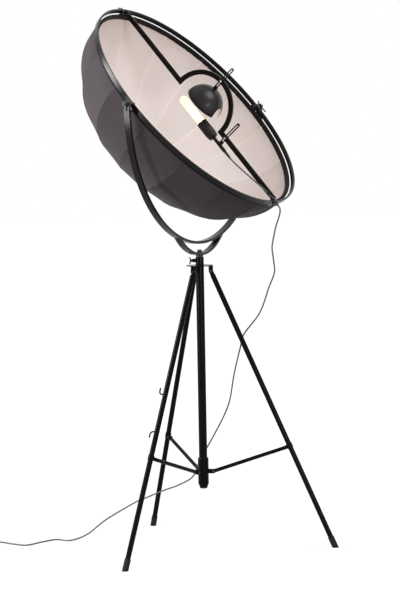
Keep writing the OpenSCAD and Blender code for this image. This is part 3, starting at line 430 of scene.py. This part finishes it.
effects = {"grain": fineGrainGroup(), "wear": edgeWearGroup(), "dust": dustGroup(), "weave": weaveGroup(),
           "braid": braidGroup(), "seam": seamGroup(), "drawn": drawnMetalGroup()}


def effect(tree, name, inputs):
    return put(tree, "ShaderNodeGroup", {"node_tree": effects[name]}, inputs).outputs


def newMaterial(name, plain):
    # A Principled BSDF with the values that are the same all over
    made = bpy.data.materials.new(name)
    made.use_nodes = True
    tree = made.node_tree
    shader = tree.nodes["Principled BSDF"]
    for key, value in plain.items():
        shader.inputs[key].default_value = value
    return made, tree, shader


def feed(tree, shader, **sockets):
    names = {"colour": "Base Color", "roughness": "Roughness", "metallic": "Metallic", "normal": "Normal",
             "glow": "Emission Color"}
    for key, socket in sockets.items():
        tree.links.new(socket, shader.inputs[names[key]])


def bump(tree, height, distance, strength, normal=None):
    inputs = {"Height": height, "Distance": distance, "Strength": strength}
    if normal is not None:
        inputs["Normal"] = normal
    return put(tree, "ShaderNodeBump", None, inputs).outputs[0]


# What all finishes of one kind share
sharedValues = {
    "enamel": {"dustColour": (0.32, 0.3, 0.28, 1), "dustRoughness": 0.4, "bareMetallic": 0.8, "bump": 0.5},
    "metal": {"grain": 500.0, "wear": 0.7, "bump": 0.4},
    "moulded": {"dustColour": (0.35, 0.33, 0.3, 1), "bump": 0.6},
    "cloth": {"grain": 260.0, "weaveHeight": 0.35, "stitchHeight": 0.6, "sheenRoughness": 0.45, "bump": 0.5},
}


# Enamel on steel: satin, with rubbed edges
def enamelMaterial(name, v):
    shared = sharedValues["enamel"]
    made, tree, shader = newMaterial(name, {"Specular IOR Level": v["specular"]})
    coords = put(tree, "ShaderNodeTexCoord").outputs["Object"]
    grain = effect(tree, "grain", {"Vector": coords, "Scale": v["grain"], "Patch Scale": v["patch"]})
    wear = effect(tree, "wear", {"Vector": coords, "Radius": v["edge"], "Amount": v["wear"]})
    dust = effect(tree, "dust", {"Vector": coords, "Amount": v["dust"]})
    paint = mixColour(tree, grain["Patch"], v["colour"], v["colour2"])
    rubbed = mixColour(tree, wear["Mask"], paint, v["bare"])
    smooth = mapTo(tree, grain["Patch"], 0.0, 1.0, *v["rough"])
    dulled = math2(tree, "MULTIPLY", dust["Mask"], shared["dustRoughness"])
    feed(tree, shader, colour=mixColour(tree, dust["Mask"], rubbed, shared["dustColour"]),
         roughness=math2(tree, "ADD", smooth, dulled),
         normal=bump(tree, grain["Grain"], v["depth"], shared["bump"], wear["Normal"]),
         metallic=math2(tree, "MULTIPLY", wear["Mask"], shared["bareMetallic"]))
    return made


# Plated or plain metal with drawn lines
def metalMaterial(name, v):
    shared = sharedValues["metal"]
    made, tree, shader = newMaterial(name, {"Metallic": 1.0})
    coords = put(tree, "ShaderNodeTexCoord").outputs["Object"]
    grain = effect(tree, "grain", {"Vector": coords, "Scale": shared["grain"], "Patch Scale": v["patch"]})
    lines = effect(tree, "drawn", {"Vector": coords, "Scale": v["lines"]})
    wear = effect(tree, "wear", {"Vector": coords, "Radius": v["edge"], "Amount": shared["wear"]})
    tone = mixColour(tree, grain["Patch"], v["colour"], v["colour2"])
    feed(tree, shader, colour=mixColour(tree, wear["Mask"], tone, v["bright"]),
         roughness=fromNoise(tree, lines["Line"], *v["rough"]),
         normal=bump(tree, lines["Line"], v["depth"], shared["bump"], wear["Normal"]))
    return made


# Moulded plastic or rubber
def mouldedMaterial(name, v):
    shared = sharedValues["moulded"]
    made, tree, shader = newMaterial(name, {"Specular IOR Level": v["specular"]})
    coords = put(tree, "ShaderNodeTexCoord").outputs["Object"]
    grain = effect(tree, "grain", {"Vector": coords, "Scale": v["grain"], "Patch Scale": v["patch"]})
    wear = effect(tree, "wear", {"Vector": coords, "Radius": v["edge"], "Amount": v["wear"]})
    dust = effect(tree, "dust", {"Vector": coords, "Amount": v["dust"]})
    tone = mixColour(tree, grain["Patch"], v["colour"], v["colour2"])
    scuffed = mixColour(tree, wear["Mask"], tone, v["scuff"])
    feed(tree, shader, colour=mixColour(tree, dust["Mask"], scuffed, shared["dustColour"]),
         roughness=mapTo(tree, grain["Patch"], 0.0, 1.0, *v["rough"]),
         normal=bump(tree, grain["Grain"], v["depth"], shared["bump"], wear["Normal"]))
    return made


# Woven cloth of the dish, with its seams and its bound hem
def clothMaterial(name, v):
    shared = sharedValues["cloth"]
    made, tree, shader = newMaterial(name, {"Specular IOR Level": v["specular"], "Sheen Weight": v["sheen"],
                                            "Sheen Roughness": shared["sheenRoughness"],
                                            "Sheen Tint": v["sheenTint"]})
    cloth = put(tree, "ShaderNodeUVMap", {"uv_map": "cloth"}).outputs[0]
    seamMap = put(tree, "ShaderNodeUVMap", {"uv_map": "seam"}).outputs[0]
    coords = put(tree, "ShaderNodeTexCoord").outputs["Object"]
    weave = effect(tree, "weave", {"Vector": cloth, "Pitch": v["pitch"]})
    seam = effect(tree, "seam", {"Vector": seamMap, "Width": v["seamWidth"]})
    grain = effect(tree, "grain", {"Vector": coords, "Scale": shared["grain"], "Patch Scale": v["patch"]})
    gore = put(tree, "ShaderNodeAttribute", {"attribute_name": "goreTone"}).outputs["Fac"]
    yarn = mixColour(tree, weave["Thread"], v["colour"], v["colour2"])
    toned = mixColour(tree, math2(tree, "MULTIPLY", gore, v["goreShare"]), yarn, v["goreColour"])
    patched = mixColour(tree, math2(tree, "MULTIPLY", grain["Patch"], v["patchShare"]),
                        toned, v["patchColour"])
    seamed = mixColour(tree, math2(tree, "MULTIPLY", seam["Line"], v["seamShare"], True),
                       patched, v["seamColour"])
    hem = put(tree, "ShaderNodeAttribute", {"attribute_name": "hem"}).outputs["Fac"]
    bound = mixColour(tree, hem, seamed, v["hemColour"])
    colour = mixColour(tree, seam["Thread"], bound, v["threadColour"])
    height = math2(tree, "ADD", math2(tree, "MULTIPLY", weave["Height"], shared["weaveHeight"]),
                   math2(tree, "MULTIPLY", seam["Thread"], shared["stitchHeight"]))
    feed(tree, shader, colour=colour,
         roughness=mapTo(tree, weave["Height"], 0.0, 1.0, *v["rough"]),
         normal=bump(tree, height, v["depth"], shared["bump"]))
    return made


# Braided textile of the cord, with painted shade darkening the gaps between its yarns
def braidMaterial(name, v):
    made, tree, shader = newMaterial(name, {"Specular IOR Level": v["specular"], "Sheen Weight": v["sheen"]})
    strand = put(tree, "ShaderNodeUVMap", {"uv_map": "strand"}).outputs[0]
    braid = effect(tree, "braid", {"Vector": strand, "Yarns": v["yarns"], "Lay": v["lay"]})
    flecked = mixColour(tree, braid["Fleck"], v["colour"], v["colour2"])
    # painted shade: where the braid is low, between the yarns, the colour is darkened towards the gap colour
    shaded = mixColour(tree, mapTo(tree, braid["Height"], 0.0, 0.5, 1.0, 0.0), flecked, v["gapShadeColour"])
    feed(tree, shader, colour=shaded,
         roughness=mapTo(tree, braid["Fleck"], 0.0, 1.0, *v["rough"]),
         normal=bump(tree, braid["Height"], v["depth"], v["bump"]))
    return made


# Warm glass with the light of the wire in it
def bulbMaterial(name, v):
    made, tree, shader = newMaterial(name, {"Transmission Weight": v["clear"], "IOR": 1.45,
                                            "Emission Strength": v["strength"]})
    coords = put(tree, "ShaderNodeTexCoord").outputs["Object"]
    grain = effect(tree, "grain", {"Vector": coords, "Scale": v["grain"], "Patch Scale": v["patch"]})
    feed(tree, shader, colour=mixColour(tree, grain["Patch"], v["colour"], v["colour2"]),
         glow=mixColour(tree, grain["Patch"], v["glow"], v["glow2"]),
         roughness=fromNoise(tree, grain["Grain"], *v["rough"]))
    return made


# The glowing wire
def wireMaterial(name, v):
    made, tree, shader = newMaterial(name, {"Emission Strength": v["strength"]})
    coords = put(tree, "ShaderNodeTexCoord").outputs["Object"]
    grain = effect(tree, "grain", {"Vector": coords, "Scale": v["grain"], "Patch Scale": v["patch"]})
    glow = mixColour(tree, grain["Patch"], v["glow"], v["glow2"])
    feed(tree, shader, colour=glow, glow=glow,
         roughness=fromNoise(tree, grain["Grain"], *v["rough"]))
    return made


# What a user would change in each finish
finishValues = {
    "frame": {"colour": (0.003, 0.0022, 0.0021, 1), "colour2": (0.0055, 0.0042, 0.004, 1),
              "bare": (0.2, 0.185, 0.17, 1), "specular": 0.17, "grain": 1100.0, "patch": 18.0, "edge": 0.0008,
              "wear": 0.3, "dust": 0.03, "rough": (0.2, 0.25), "depth": 0.00003},
    "tripod": {"colour": (0.0025, 0.002, 0.002, 1), "colour2": (0.0042, 0.0034, 0.0034, 1),
               "bare": (0.2, 0.19, 0.18, 1), "specular": 0.06, "grain": 1000.0, "patch": 12.0, "edge": 0.0007,
               "wear": 0.25, "dust": 0.03, "rough": (0.18, 0.24), "depth": 0.00003},
    "reflector": {"colour": (0.006, 0.0045, 0.0042, 1), "colour2": (0.0095, 0.0072, 0.0068, 1),
                  "bare": (0.2, 0.18, 0.17, 1), "specular": 0.32, "grain": 1400.0, "patch": 24.0,
                  "edge": 0.0004, "wear": 0.2, "dust": 0.03, "rough": (0.33, 0.38), "depth": 0.00003},
    "fittings": {"colour": (0.035, 0.034, 0.035, 1), "colour2": (0.06, 0.058, 0.058, 1),
                 "bright": (0.3, 0.29, 0.28, 1), "patch": 60.0, "lines": 900.0, "edge": 0.0004,
                 "rough": (0.32, 0.5), "depth": 0.0001},
    "screws": {"colour": (0.55, 0.54, 0.52, 1), "colour2": (0.68, 0.67, 0.64, 1),
               "bright": (0.85, 0.85, 0.84, 1), "patch": 120.0, "lines": 1200.0, "edge": 0.0003,
               "rough": (0.18, 0.34), "depth": 0.0001},
    "cap": {"colour": (0.72, 0.72, 0.7, 1), "colour2": (0.82, 0.81, 0.79, 1), "bright": (0.9, 0.9, 0.9, 1),
            "patch": 90.0, "lines": 800.0, "edge": 0.0003, "rough": (0.2, 0.35), "depth": 0.0001},
    "bush": {"colour": (0.012, 0.012, 0.012, 1), "colour2": (0.02, 0.02, 0.02, 1),
             "scuff": (0.07, 0.07, 0.07, 1), "specular": 0.25, "grain": 1200.0, "patch": 30.0, "edge": 0.0005,
             "wear": 0.4, "dust": 0.08, "rough": (0.45, 0.6), "depth": 0.0002},
    "feet": {"colour": (0.006, 0.006, 0.006, 1), "colour2": (0.012, 0.0115, 0.011, 1),
             "scuff": (0.06, 0.056, 0.053, 1), "specular": 0.2, "grain": 700.0, "patch": 40.0, "edge": 0.001,
             "wear": 0.45, "dust": 0.12, "rough": (0.6, 0.8), "depth": 0.0003},
    "holder": {"colour": (0.004, 0.003, 0.003, 1), "colour2": (0.007, 0.0055, 0.0052, 1),
               "scuff": (0.08, 0.072, 0.068, 1), "specular": 0.3, "grain": 1300.0, "patch": 50.0,
               "edge": 0.0008, "wear": 0.3, "dust": 0.05, "rough": (0.4, 0.5), "depth": 0.0002},
    "plug": {"colour": (0.008, 0.008, 0.008, 1), "colour2": (0.014, 0.014, 0.014, 1),
             "scuff": (0.08, 0.08, 0.08, 1), "specular": 0.3, "grain": 1000.0, "patch": 50.0, "edge": 0.001,
             "wear": 0.3, "dust": 0.08, "rough": (0.4, 0.55), "depth": 0.0002},
    "cover": {"colour": (0.07, 0.058, 0.065, 1), "colour2": (0.09, 0.076, 0.084, 1), "pitch": 0.0009,
              "goreColour": (0.036, 0.029, 0.032, 1), "goreShare": 0.5, "patchColour": (0.1, 0.085, 0.094, 1),
              "patchShare": 0.22, "patch": 7.0, "seamWidth": 0.0028, "seamColour": (0.04, 0.033, 0.036, 1),
              "seamShare": 0.6, "threadColour": (0.075, 0.063, 0.07, 1),
              "hemColour": (0.008, 0.0065, 0.0065, 1), "specular": 0.15, "sheen": 0.08,
              "sheenTint": (0.95, 0.92, 1.0, 1), "rough": (0.78, 0.94), "depth": 0.0003},
    "lining": {"colour": (0.76, 0.722, 0.72, 1), "colour2": (0.82, 0.78, 0.776, 1), "pitch": 0.0008,
               "goreColour": (0.68, 0.635, 0.625, 1), "goreShare": 0.4, "patchColour": (0.83, 0.76, 0.745, 1),
               "patchShare": 0.35, "patch": 5.0, "seamWidth": 0.0024, "seamColour": (0.93, 0.89, 0.86, 1),
               "seamShare": 0.9, "threadColour": (0.84, 0.79, 0.76, 1), "hemColour": (0.7, 0.64, 0.62, 1),
               "specular": 0.2, "sheen": 0.05, "sheenTint": (1, 1, 1, 1), "rough": (0.75, 0.92),
               "depth": 0.0002},
    # the cord's gap colour is painted shade between the braid's yarns
    "cord": {"colour": (0.15, 0.145, 0.15, 1), "colour2": (0.3, 0.29, 0.295, 1),
             "gapShadeColour": (0.06, 0.056, 0.06, 1), "yarns": 8.0, "lay": 0.012, "specular": 0.25, "sheen": 0.2,
             "rough": (0.7, 0.9), "depth": 0.0004, "bump": 0.8},
    "bulb": {"colour": (0.97, 0.82, 0.68, 1), "colour2": (0.98, 0.86, 0.75, 1), "glow": (1.0, 0.56, 0.36, 1),
             "glow2": (1.0, 0.64, 0.45, 1), "clear": 0.7, "strength": 0.5, "grain": 240.0, "patch": 40.0,
             "rough": (0.02, 0.07)},
    "reflectorInside": {"colour": (0.8, 0.78, 0.74, 1), "colour2": (0.86, 0.84, 0.8, 1),
                        "bright": (0.9, 0.88, 0.85, 1), "patch": 50.0, "lines": 500.0, "edge": 0.0003,
                        "rough": (0.3, 0.42), "depth": 0.0001},
    "filament": {"glow": (1.0, 0.7, 0.36, 1), "glow2": (1.0, 0.8, 0.5, 1), "strength": 12.0, "grain": 900.0,
                 "patch": 120.0, "rough": (0.4, 0.6)},
}
makers = {"cover": clothMaterial, "lining": clothMaterial, "cord": braidMaterial, "bulb": bulbMaterial,
          "filament": wireMaterial, "fittings": metalMaterial, "screws": metalMaterial, "cap": metalMaterial,
          "reflectorInside": metalMaterial, "frame": enamelMaterial, "tripod": enamelMaterial,
          "reflector": enamelMaterial}
finishes = {name: makers.get(name, mouldedMaterial)(name, values) for name, values in finishValues.items()}
print("finishes mixed:", len(finishes))

# Each carried-over node takes the finish of its slot; the frame's own bolts are blackened
blackened = {"ring_bolts", "pivot_screws"}
for part in frame["record"]["subparts"]:
    shown = frame["nodes"][part["node"]]
    for place in shown.material_slots:
        place.material = finishes["fittings" if part["node"] in blackened else part["material_slot"]]


def finish(made, slotName, body=None):
    made.data.materials.append(finishes[slotName])
    if body:
        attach(made, body)
    return made


for tube, path in cords.values():
    tube.data.materials.append(finishes["cord"])


# Gored cloth: straight from seam to seam, drawn in between the ribs, round at the hem
coverValues = {"radius": 0.4104, "depth": 0.285, "sag": 0.0016, "ridge": 0.0006, "pucker": 0.00035,
               "hem": 0.0005, "thickness": 0.0011, "seed": 3,
               "fold": [(0.4021, -0.0222), (0.4021, -0.016), (0.4021, -0.0098), (0.4027, -0.0088),
                        (0.4045, -0.0083), (0.4085, -0.0083), (0.4099, -0.0088)]}
liningValues = {"radius": 0.4025, "depth": 0.2775, "sag": 0.0, "ridge": -0.0006, "pucker": 0.0003, "hem": 0.0,
                "thickness": 0.0009, "seed": 8, "fold": []}
# Both layers: angles in degrees down the bowl, and where a gore's columns lie between its two seams
goreValues = {"front": -0.010, "skirt": 0.0123, "gores": 16, "rows": 84, "lastAngle": 88.5, "flatFrom": 14,
              "creasedFrom": 5, "ridgeFrom": 0.002, "ridgeTo": 0.005, "puckerWaves": (520, 1130),
              "puckerReach": 0.012, "creaseWaves": (190, 331), "creaseAt": 0.03, "creaseReach": 0.02,
              "tipLength": 0.01,
              "shares": [0, 0.016, 0.034, 0.06, 0.12, 0.22, 0.36, 0.5, 0.64, 0.78, 0.88, 0.94, 0.966, 0.984]}
goreTurn = 2 * math.pi / goreValues["gores"]


def sheetRings(v, shape):
    # Radius, depth and step of each ring: -3 in the hem's fold, -2 to 0 on the skirt, then the bowl's angle
    rings = [(radius, z, -3) for radius, z in v["fold"]]
    # The cover's edge is folded over the hoop; the lining is sewn on behind it
    for step in (-2, -1, 0) if v["fold"] else (0,):
        rings.append((v["radius"], shape["front"] - shape["skirt"] * (2 + step) / 2, step))
    for i in range(shape["rows"]):
        step = shape["lastAngle"] * (i + 1) / shape["rows"]
        a = math.radians(step)
        rings.append((v["radius"] * math.cos(a),
                      shape["front"] - shape["skirt"] - (v["depth"] - shape["skirt"]) * math.sin(a), step))
    return rings


def clothReach(v, shape, ring, along, gore, share, fromSeam):
    # The cloth's distance from the dish's axis at one point of a gore
    radius, z, step = ring
    flat = smoothstep(0, shape["flatFrom"], step)
    chord = radius * math.cos(goreTurn / 2) / math.cos(goreTurn * (share - 0.5))
    reach = radius + (chord - radius) * flat
    bowl = math.sin(math.pi * min(1, max(0, step) / shape["lastAngle"])) ** 0.7
    reach -= v["sag"] * 4 * share * (1 - share) * bowl
    reach += v["ridge"] * (1 - smoothstep(shape["ridgeFrom"], shape["ridgeTo"], fromSeam))
    # Puckers beside the seams, then small creases behind the hem
    slow, quick = shape["puckerWaves"]
    wave = math.sin(along * slow + gore * 1.9 + v["seed"]) + 0.6 * math.sin(along * quick + gore * 4.1)
    reach += v["pucker"] * wave * math.exp(-fromSeam / shape["puckerReach"]) * flat
    turn = goreTurn * (gore + 0.5) + goreTurn * share
    slow, quick = shape["creaseWaves"]
    crease = math.sin(turn * slow + v["seed"]) + 0.7 * math.sin(turn * quick + 1.3)
    creased = smoothstep(0, shape["creasedFrom"], step)
    reach += v["pucker"] * crease * math.exp(-abs(along - shape["creaseAt"]) / shape["creaseReach"]) * creased
    if step > -3:       # the hem stands out a little
        reach += v["hem"] * (1 - smoothstep(-1.6, -0.6, step))
    return reach


def faceAttribute(made, name, values):
    made.data.attributes.new(name, "FLOAT", "FACE").data.foreach_set("value", values)


def goredSheet(name, v, shape):
    rings = sheetRings(v, shape)
    count = len(shape["shares"])
    columns = shape["gores"] * count
    points, clothUv, seamUv = [], [], []
    along = 0.0
    for j, ring in enumerate(rings):
        radius, z, step = ring
        if j:
            along += math.hypot(radius - rings[j - 1][0], z - rings[j - 1][1])
        width = 2 * radius * math.sin(goreTurn / 2)
        for gore in range(shape["gores"]):
            for share in shape["shares"]:
                turn = goreTurn * (gore + 0.5) + goreTurn * share
                fromSeam = min(share, 1 - share) * width
                reach = clothReach(v, shape, ring, along, gore, share, fromSeam)
                points.append(fromDish(reach * math.cos(turn), reach * math.sin(turn), z))
                clothUv.append(((share - 0.5) * width, along))
                seamUv.append((fromSeam, along))
    faces, clothFaces, seamFaces = [], [], []
    for j in range(len(rings) - 1):
        for c in range(columns):
            d = (c + 1) % columns
            corners = (j * columns + c, j * columns + d, (j + 1) * columns + d, (j + 1) * columns + c)
            faces.append(corners)
            cloth = [clothUv[i] for i in corners]
            if (c + 1) % count == 0:        # the last column of a gore ends at the next one's seam
                cloth[1] = (-clothUv[corners[0] - count + 1][0], cloth[1][1])
                cloth[2] = (-clothUv[corners[3] - count + 1][0], cloth[2][1])
            clothFaces.append(cloth)
            seamFaces.append([seamUv[i] for i in corners])
    tip, tipAlong = len(points), along + shape["tipLength"]
    points.append(fromDish(0, 0, shape["front"] - v["depth"]))
    base = (len(rings) - 1) * columns
    for c in range(columns):
        corners = (base + c, base + (c + 1) % columns, tip)
        faces.append(corners)
        clothFaces.append([clothUv[corners[0]], clothUv[corners[0]], (0, tipAlong)])
        seamFaces.append([(0, along), (0, along), (0, tipAlong)])
    made = meshObject(name, points, faces, {"cloth": clothFaces, "seam": seamFaces})
    faceAttribute(made, "hem", [float(i < base and rings[i // columns][2] < -1) for i in range(len(faces))])
    faceAttribute(made, "goreTone", [0.5 + 0.5 * math.sin(i % columns // count * 2.4 + v["seed"])
                                     for i in range(len(faces))])
    thickness = made.modifiers.new("thickness", "SOLIDIFY")
    thickness.thickness = v["thickness"]
    thickness.offset = 0
    area = sum(face.area for face in made.data.polygons)
    return made, along, area


coverSheet, coverAlong, coverArea = goredSheet("shadeCloth", coverValues, goreValues)
finish(coverSheet, "cover", "dish")
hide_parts("shade_cover")
liningSheet, liningAlong, liningArea = goredSheet("shadeLining", liningValues, goreValues)
finish(liningSheet, "lining", "dish")
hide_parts("shade_lining")
print("shade sewn:", round(coverArea, 3), "and", round(liningArea, 3), "square metres")


# Small reflector: a spun shell with an arched notch towards the lampholder
reflectorValues = {"radius": 0.064, "front": 0.020, "drop": -0.012, "thickness": 0.0015, "notchHalf": 0.0194,
                   "notchStraight": 0.015, "columns": 120, "archColumns": 22, "rows": 40, "notchRows": 8,
                   "halvings": 40, "rim": 0.0005}
# The block that holds its strip, as two corners in the dish's frame
lugValues = {"low": (-0.0033, -0.011, 0.081), "high": (0.006, 0.001, 0.092), "rounding": 0.0008}


def reflectorShell(v):
    radius, half, spring = v["radius"], v["notchHalf"], v["notchStraight"]
    springTurn = math.asin(spring / radius)
    notchTurn = math.asin(half / (radius * math.cos(springTurn)))

    def archTurn(turn):
        # Height angle of the notch's arch at this turn from its middle, found by halving
        low, high = springTurn, math.pi / 2
        for k in range(v["halvings"]):
            middle = (low + high) / 2
            across = radius * math.cos(middle) * math.sin(abs(turn))
            inside = across ** 2 + (radius * math.sin(middle) - spring) ** 2 < half ** 2
            low, high = (middle, high) if inside else (low, middle)
        return low

    plain = [notchTurn + (2 * math.pi - 2 * notchTurn) * i / v["columns"] for i in range(v["columns"] + 1)]
    arched = [-notchTurn + 2 * notchTurn * i / v["archColumns"] for i in range(1, v["archColumns"])]
    points, index = [], {}
    for c, turn in enumerate(plain + arched):
        inNotch = c >= len(plain)
        first = v["notchRows"] if inNotch else 0
        base = archTurn(turn) if inNotch else springTurn
        for row in range(first, v["rows"]):
            if row <= v["notchRows"] and not inNotch:
                height = springTurn * row / v["notchRows"]
            else:
                height = base + (math.pi / 2 - base) * (row - v["notchRows"]) / (v["rows"] - v["notchRows"])
            flat = radius * math.cos(height)
            index[c, row] = len(points)
            points.append(fromDish(flat * math.sin(turn), v["drop"] - flat * math.cos(turn),
                                   v["front"] + radius * math.sin(height)))
    top = len(points)
    points.append(fromDish(0, v["drop"], v["front"] + radius))
    total = len(plain) + len(arched)
    faces = []
    for c in range(total):
        d = (c + 1) % total
        for row in range(v["rows"] - 1):
            corners = [(c, row), (d, row), (d, row + 1), (c, row + 1)]
            if all(corner in index for corner in corners):
                faces.append(tuple(index[corner] for corner in corners))
        faces.append((index[c, v["rows"] - 1], index[d, v["rows"] - 1], top))
    made = meshObject("reflectorShell", points, faces)
    turnNormalsOut(made)
    thickness = made.modifiers.new("thickness", "SOLIDIFY")
    thickness.thickness = v["thickness"]
    thickness.offset = -1
    thickness.material_offset = 1
    rolled = made.modifiers.new("rolled", "BEVEL")
    rolled.width = v["rim"]
    rolled.segments = 2
    rolled.limit_method = "ANGLE"
    return made


# A block with rounded edges in the dish's frame
def dishBlock(name, low, high, rounding):
    points = [fromDish(x, y, z)
              for x in (low[0], high[0]) for y in (low[1], high[1]) for z in (low[2], high[2])]
    faces = [(0, 1, 3, 2), (4, 6, 7, 5), (0, 4, 5, 1), (2, 3, 7, 6), (0, 2, 6, 4), (1, 5, 7, 3)]
    made = meshObject(name, points, faces, smooth=False)
    turnNormalsOut(made)
    work = bmesh.new()
    work.from_mesh(made.data)
    bmesh.ops.bevel(work, geom=list(work.edges), offset=rounding, segments=3, profile=0.5, affect="EDGES")
    work.to_mesh(made.data)
    work.free()
    return made


shell = finish(reflectorShell(reflectorValues), "reflector", "small_reflector")
shell.data.materials.append(finishes["reflectorInside"])
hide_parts("reflector_dome")
lug = dishBlock("reflectorLug", lugValues["low"], lugValues["high"], lugValues["rounding"])
finish(lug, "reflector", "small_reflector")
print("small reflector spun")


# Strain relief of the lead below its stem: a ribbed taper
reliefValues = {"top": (0, -0.1865, -0.024), "towards": (0, -0.196, -0.024), "length": 0.026, "from": 0.0044,
                "to": 0.0031, "ribs": 6, "ringsPerRib": 4, "groove": 0.0005, "sides": 28}


def leadRelief(v):
    top = fromDish(*v["top"])
    forward = (fromDish(*v["towards"]) - top).normalized()
    count = v["ribs"] * v["ringsPerRib"]
    points, radii = [], []
    for i in range(count + 1):
        share = i / count
        inGroove = i % v["ringsPerRib"] == v["ringsPerRib"] // 2
        points.append(top + forward * (v["length"] * share))
        radii.append(v["from"] + (v["to"] - v["from"]) * share - (v["groove"] if inGroove else 0.0))
    return tubeObject("leadRelief", points, pathFrames(points), radii, v["sides"])


relief = leadRelief(reliefValues)
finish(relief, "holder", "lamp")


# Tie round the coil: a thin band with a squarish outline
tieValues = {"reach": 0.0285, "half": 0.0115, "height": 0.0122, "width": 0.012, "cloth": 0.0006, "steps": 40}


def coilTie(middle, v):
    points, faces = [], []
    for i in range(v["steps"]):
        turn = 2 * math.pi * i / v["steps"]
        x, z = (math.copysign(abs(part) ** 0.5, part) for part in (math.cos(turn), math.sin(turn)))
        for grow, side in ((0, -1), (0, 1), (1, 1), (1, -1)):
            across = v["half"] + grow * v["cloth"]
            upward = v["height"] / 2 - (1 - grow) * v["cloth"]
            points.append(Vector((middle.x + v["reach"] + x * across, middle.y + side * v["width"] / 2,
                                  v["height"] / 2 + z * upward)))
        j = (i + 1) % v["steps"]
        for k in range(4):
            m = (k + 1) % 4
            faces.append((i * 4 + k, i * 4 + m, j * 4 + m, j * 4 + k))
    made = meshObject("coilTie", points, faces)
    turnNormalsOut(made)
    return made


finish(coilTie(coilMiddle, tieValues), "plug", "stand")
print("fittings added")


# Floor and light: a pale floor that fades into a white surround
stageValues = {"floorSize": 60.0, "floorColour": (0.22, 0.22, 0.22, 1), "nearLift": 0.85, "farLift": 1.0,
               "nearReach": 0.9, "farReach": 3.0, "surround": 0.17}
lightValues = {
    "keyLight": {"place": (-4.2, -0.5, 3.0), "target": (-0.2, 0, 1.5), "size": (3.0, 0.9), "power": 200.0},
    "dishLight": {"place": (2.6, -1.9, 4.7), "target": (0, 0, 1.45), "size": (2.6, 2.6), "power": 134.0},
    "stripLight": {"place": (-4.3, -2.8, 1.1), "target": (-0.2, -0.4, 1.35), "size": (0.6, 1.5),
                   "power": 78.0},
    "frontLight": {"place": (2.4, -4.4, 0.8), "target": (0, 0, 1.35), "size": (1.0, 0.8), "power": 44.0},
}
bulbLightValues = {"power": 1.0, "colour": (1.0, 0.54, 0.28), "radius": 0.03}


def whiteForCamera(tree):
    # One where the camera, a reflection or glass sees the surface
    path = put(tree, "ShaderNodeLightPath").outputs
    seen = math2(tree, "MAXIMUM", path["Is Camera Ray"], path["Is Glossy Ray"])
    return math2(tree, "MAXIMUM", seen, path["Is Transmission Ray"])


def makeStage(v):
    size = v["floorSize"] / 2
    floor = meshObject("floor", [(-size, -size, 0), (size, -size, 0), (size, size, 0), (-size, size, 0)],
                       [(0, 1, 2, 3)], smooth=False)
    made = bpy.data.materials.new("floor")
    made.use_nodes = True
    tree = made.node_tree
    shader = tree.nodes["Principled BSDF"]
    shader.inputs["Base Color"].default_value = v["floorColour"]
    shader.inputs["Roughness"].default_value = 1.0
    shader.inputs["Specular IOR Level"].default_value = 0.0
    shader.inputs["Emission Color"].default_value = (1, 1, 1, 1)
    where = put(tree, "ShaderNodeNewGeometry").outputs["Position"]
    reach = put(tree, "ShaderNodeVectorMath", {"operation": "LENGTH"}, {0: where}).outputs["Value"]
    lift = mapTo(tree, reach, v["nearReach"], v["farReach"], v["nearLift"], v["farLift"])
    tree.links.new(math2(tree, "MULTIPLY", whiteForCamera(tree), lift), shader.inputs["Emission Strength"])
    floor.data.materials.append(made)

    world = bpy.data.worlds.new("surround")
    scene.world = world
    world.use_nodes = True
    tree = world.node_tree
    sky = tree.nodes["Background"]
    sky.inputs["Color"].default_value = (1, 1, 1, 1)
    tree.links.new(mapTo(tree, whiteForCamera(tree), 0.0, 1.0, v["surround"], 1.0), sky.inputs["Strength"])


def addLight(name, data, place):
    lamp = bpy.data.objects.new(name, data)
    lamp.location = place
    scene.collection.objects.link(lamp)
    return lamp


def softLight(name, v):
    data = bpy.data.lights.new(name, "AREA")
    data.shape = "RECTANGLE"
    data.size, data.size_y = v["size"]
    data.energy = v["power"]
    lamp = addLight(name, data, v["place"])
    lamp.rotation_euler = (Vector(v["target"]) - Vector(v["place"])).to_track_quat("-Z", "Y").to_euler()


def bulbLight(v, carrier):
    # The bulb's warm light moves with the piece that carries it
    low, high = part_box("bulb_glass")
    data = bpy.data.lights.new("bulbLight", "POINT")
    data.energy = v["power"]
    data.color = v["colour"]
    data.shadow_soft_size = v["radius"]
    lamp = addLight("bulbLight", data, (Vector(low) + Vector(high)) / 2)
    lamp.parent = carrier
    lamp.visible_camera = lamp.visible_glossy = lamp.visible_transmission = False


makeStage(stageValues)
for name, values in lightValues.items():
    softLight(name, values)
bulbLight(bulbLightValues, relief)
print("stage lit")
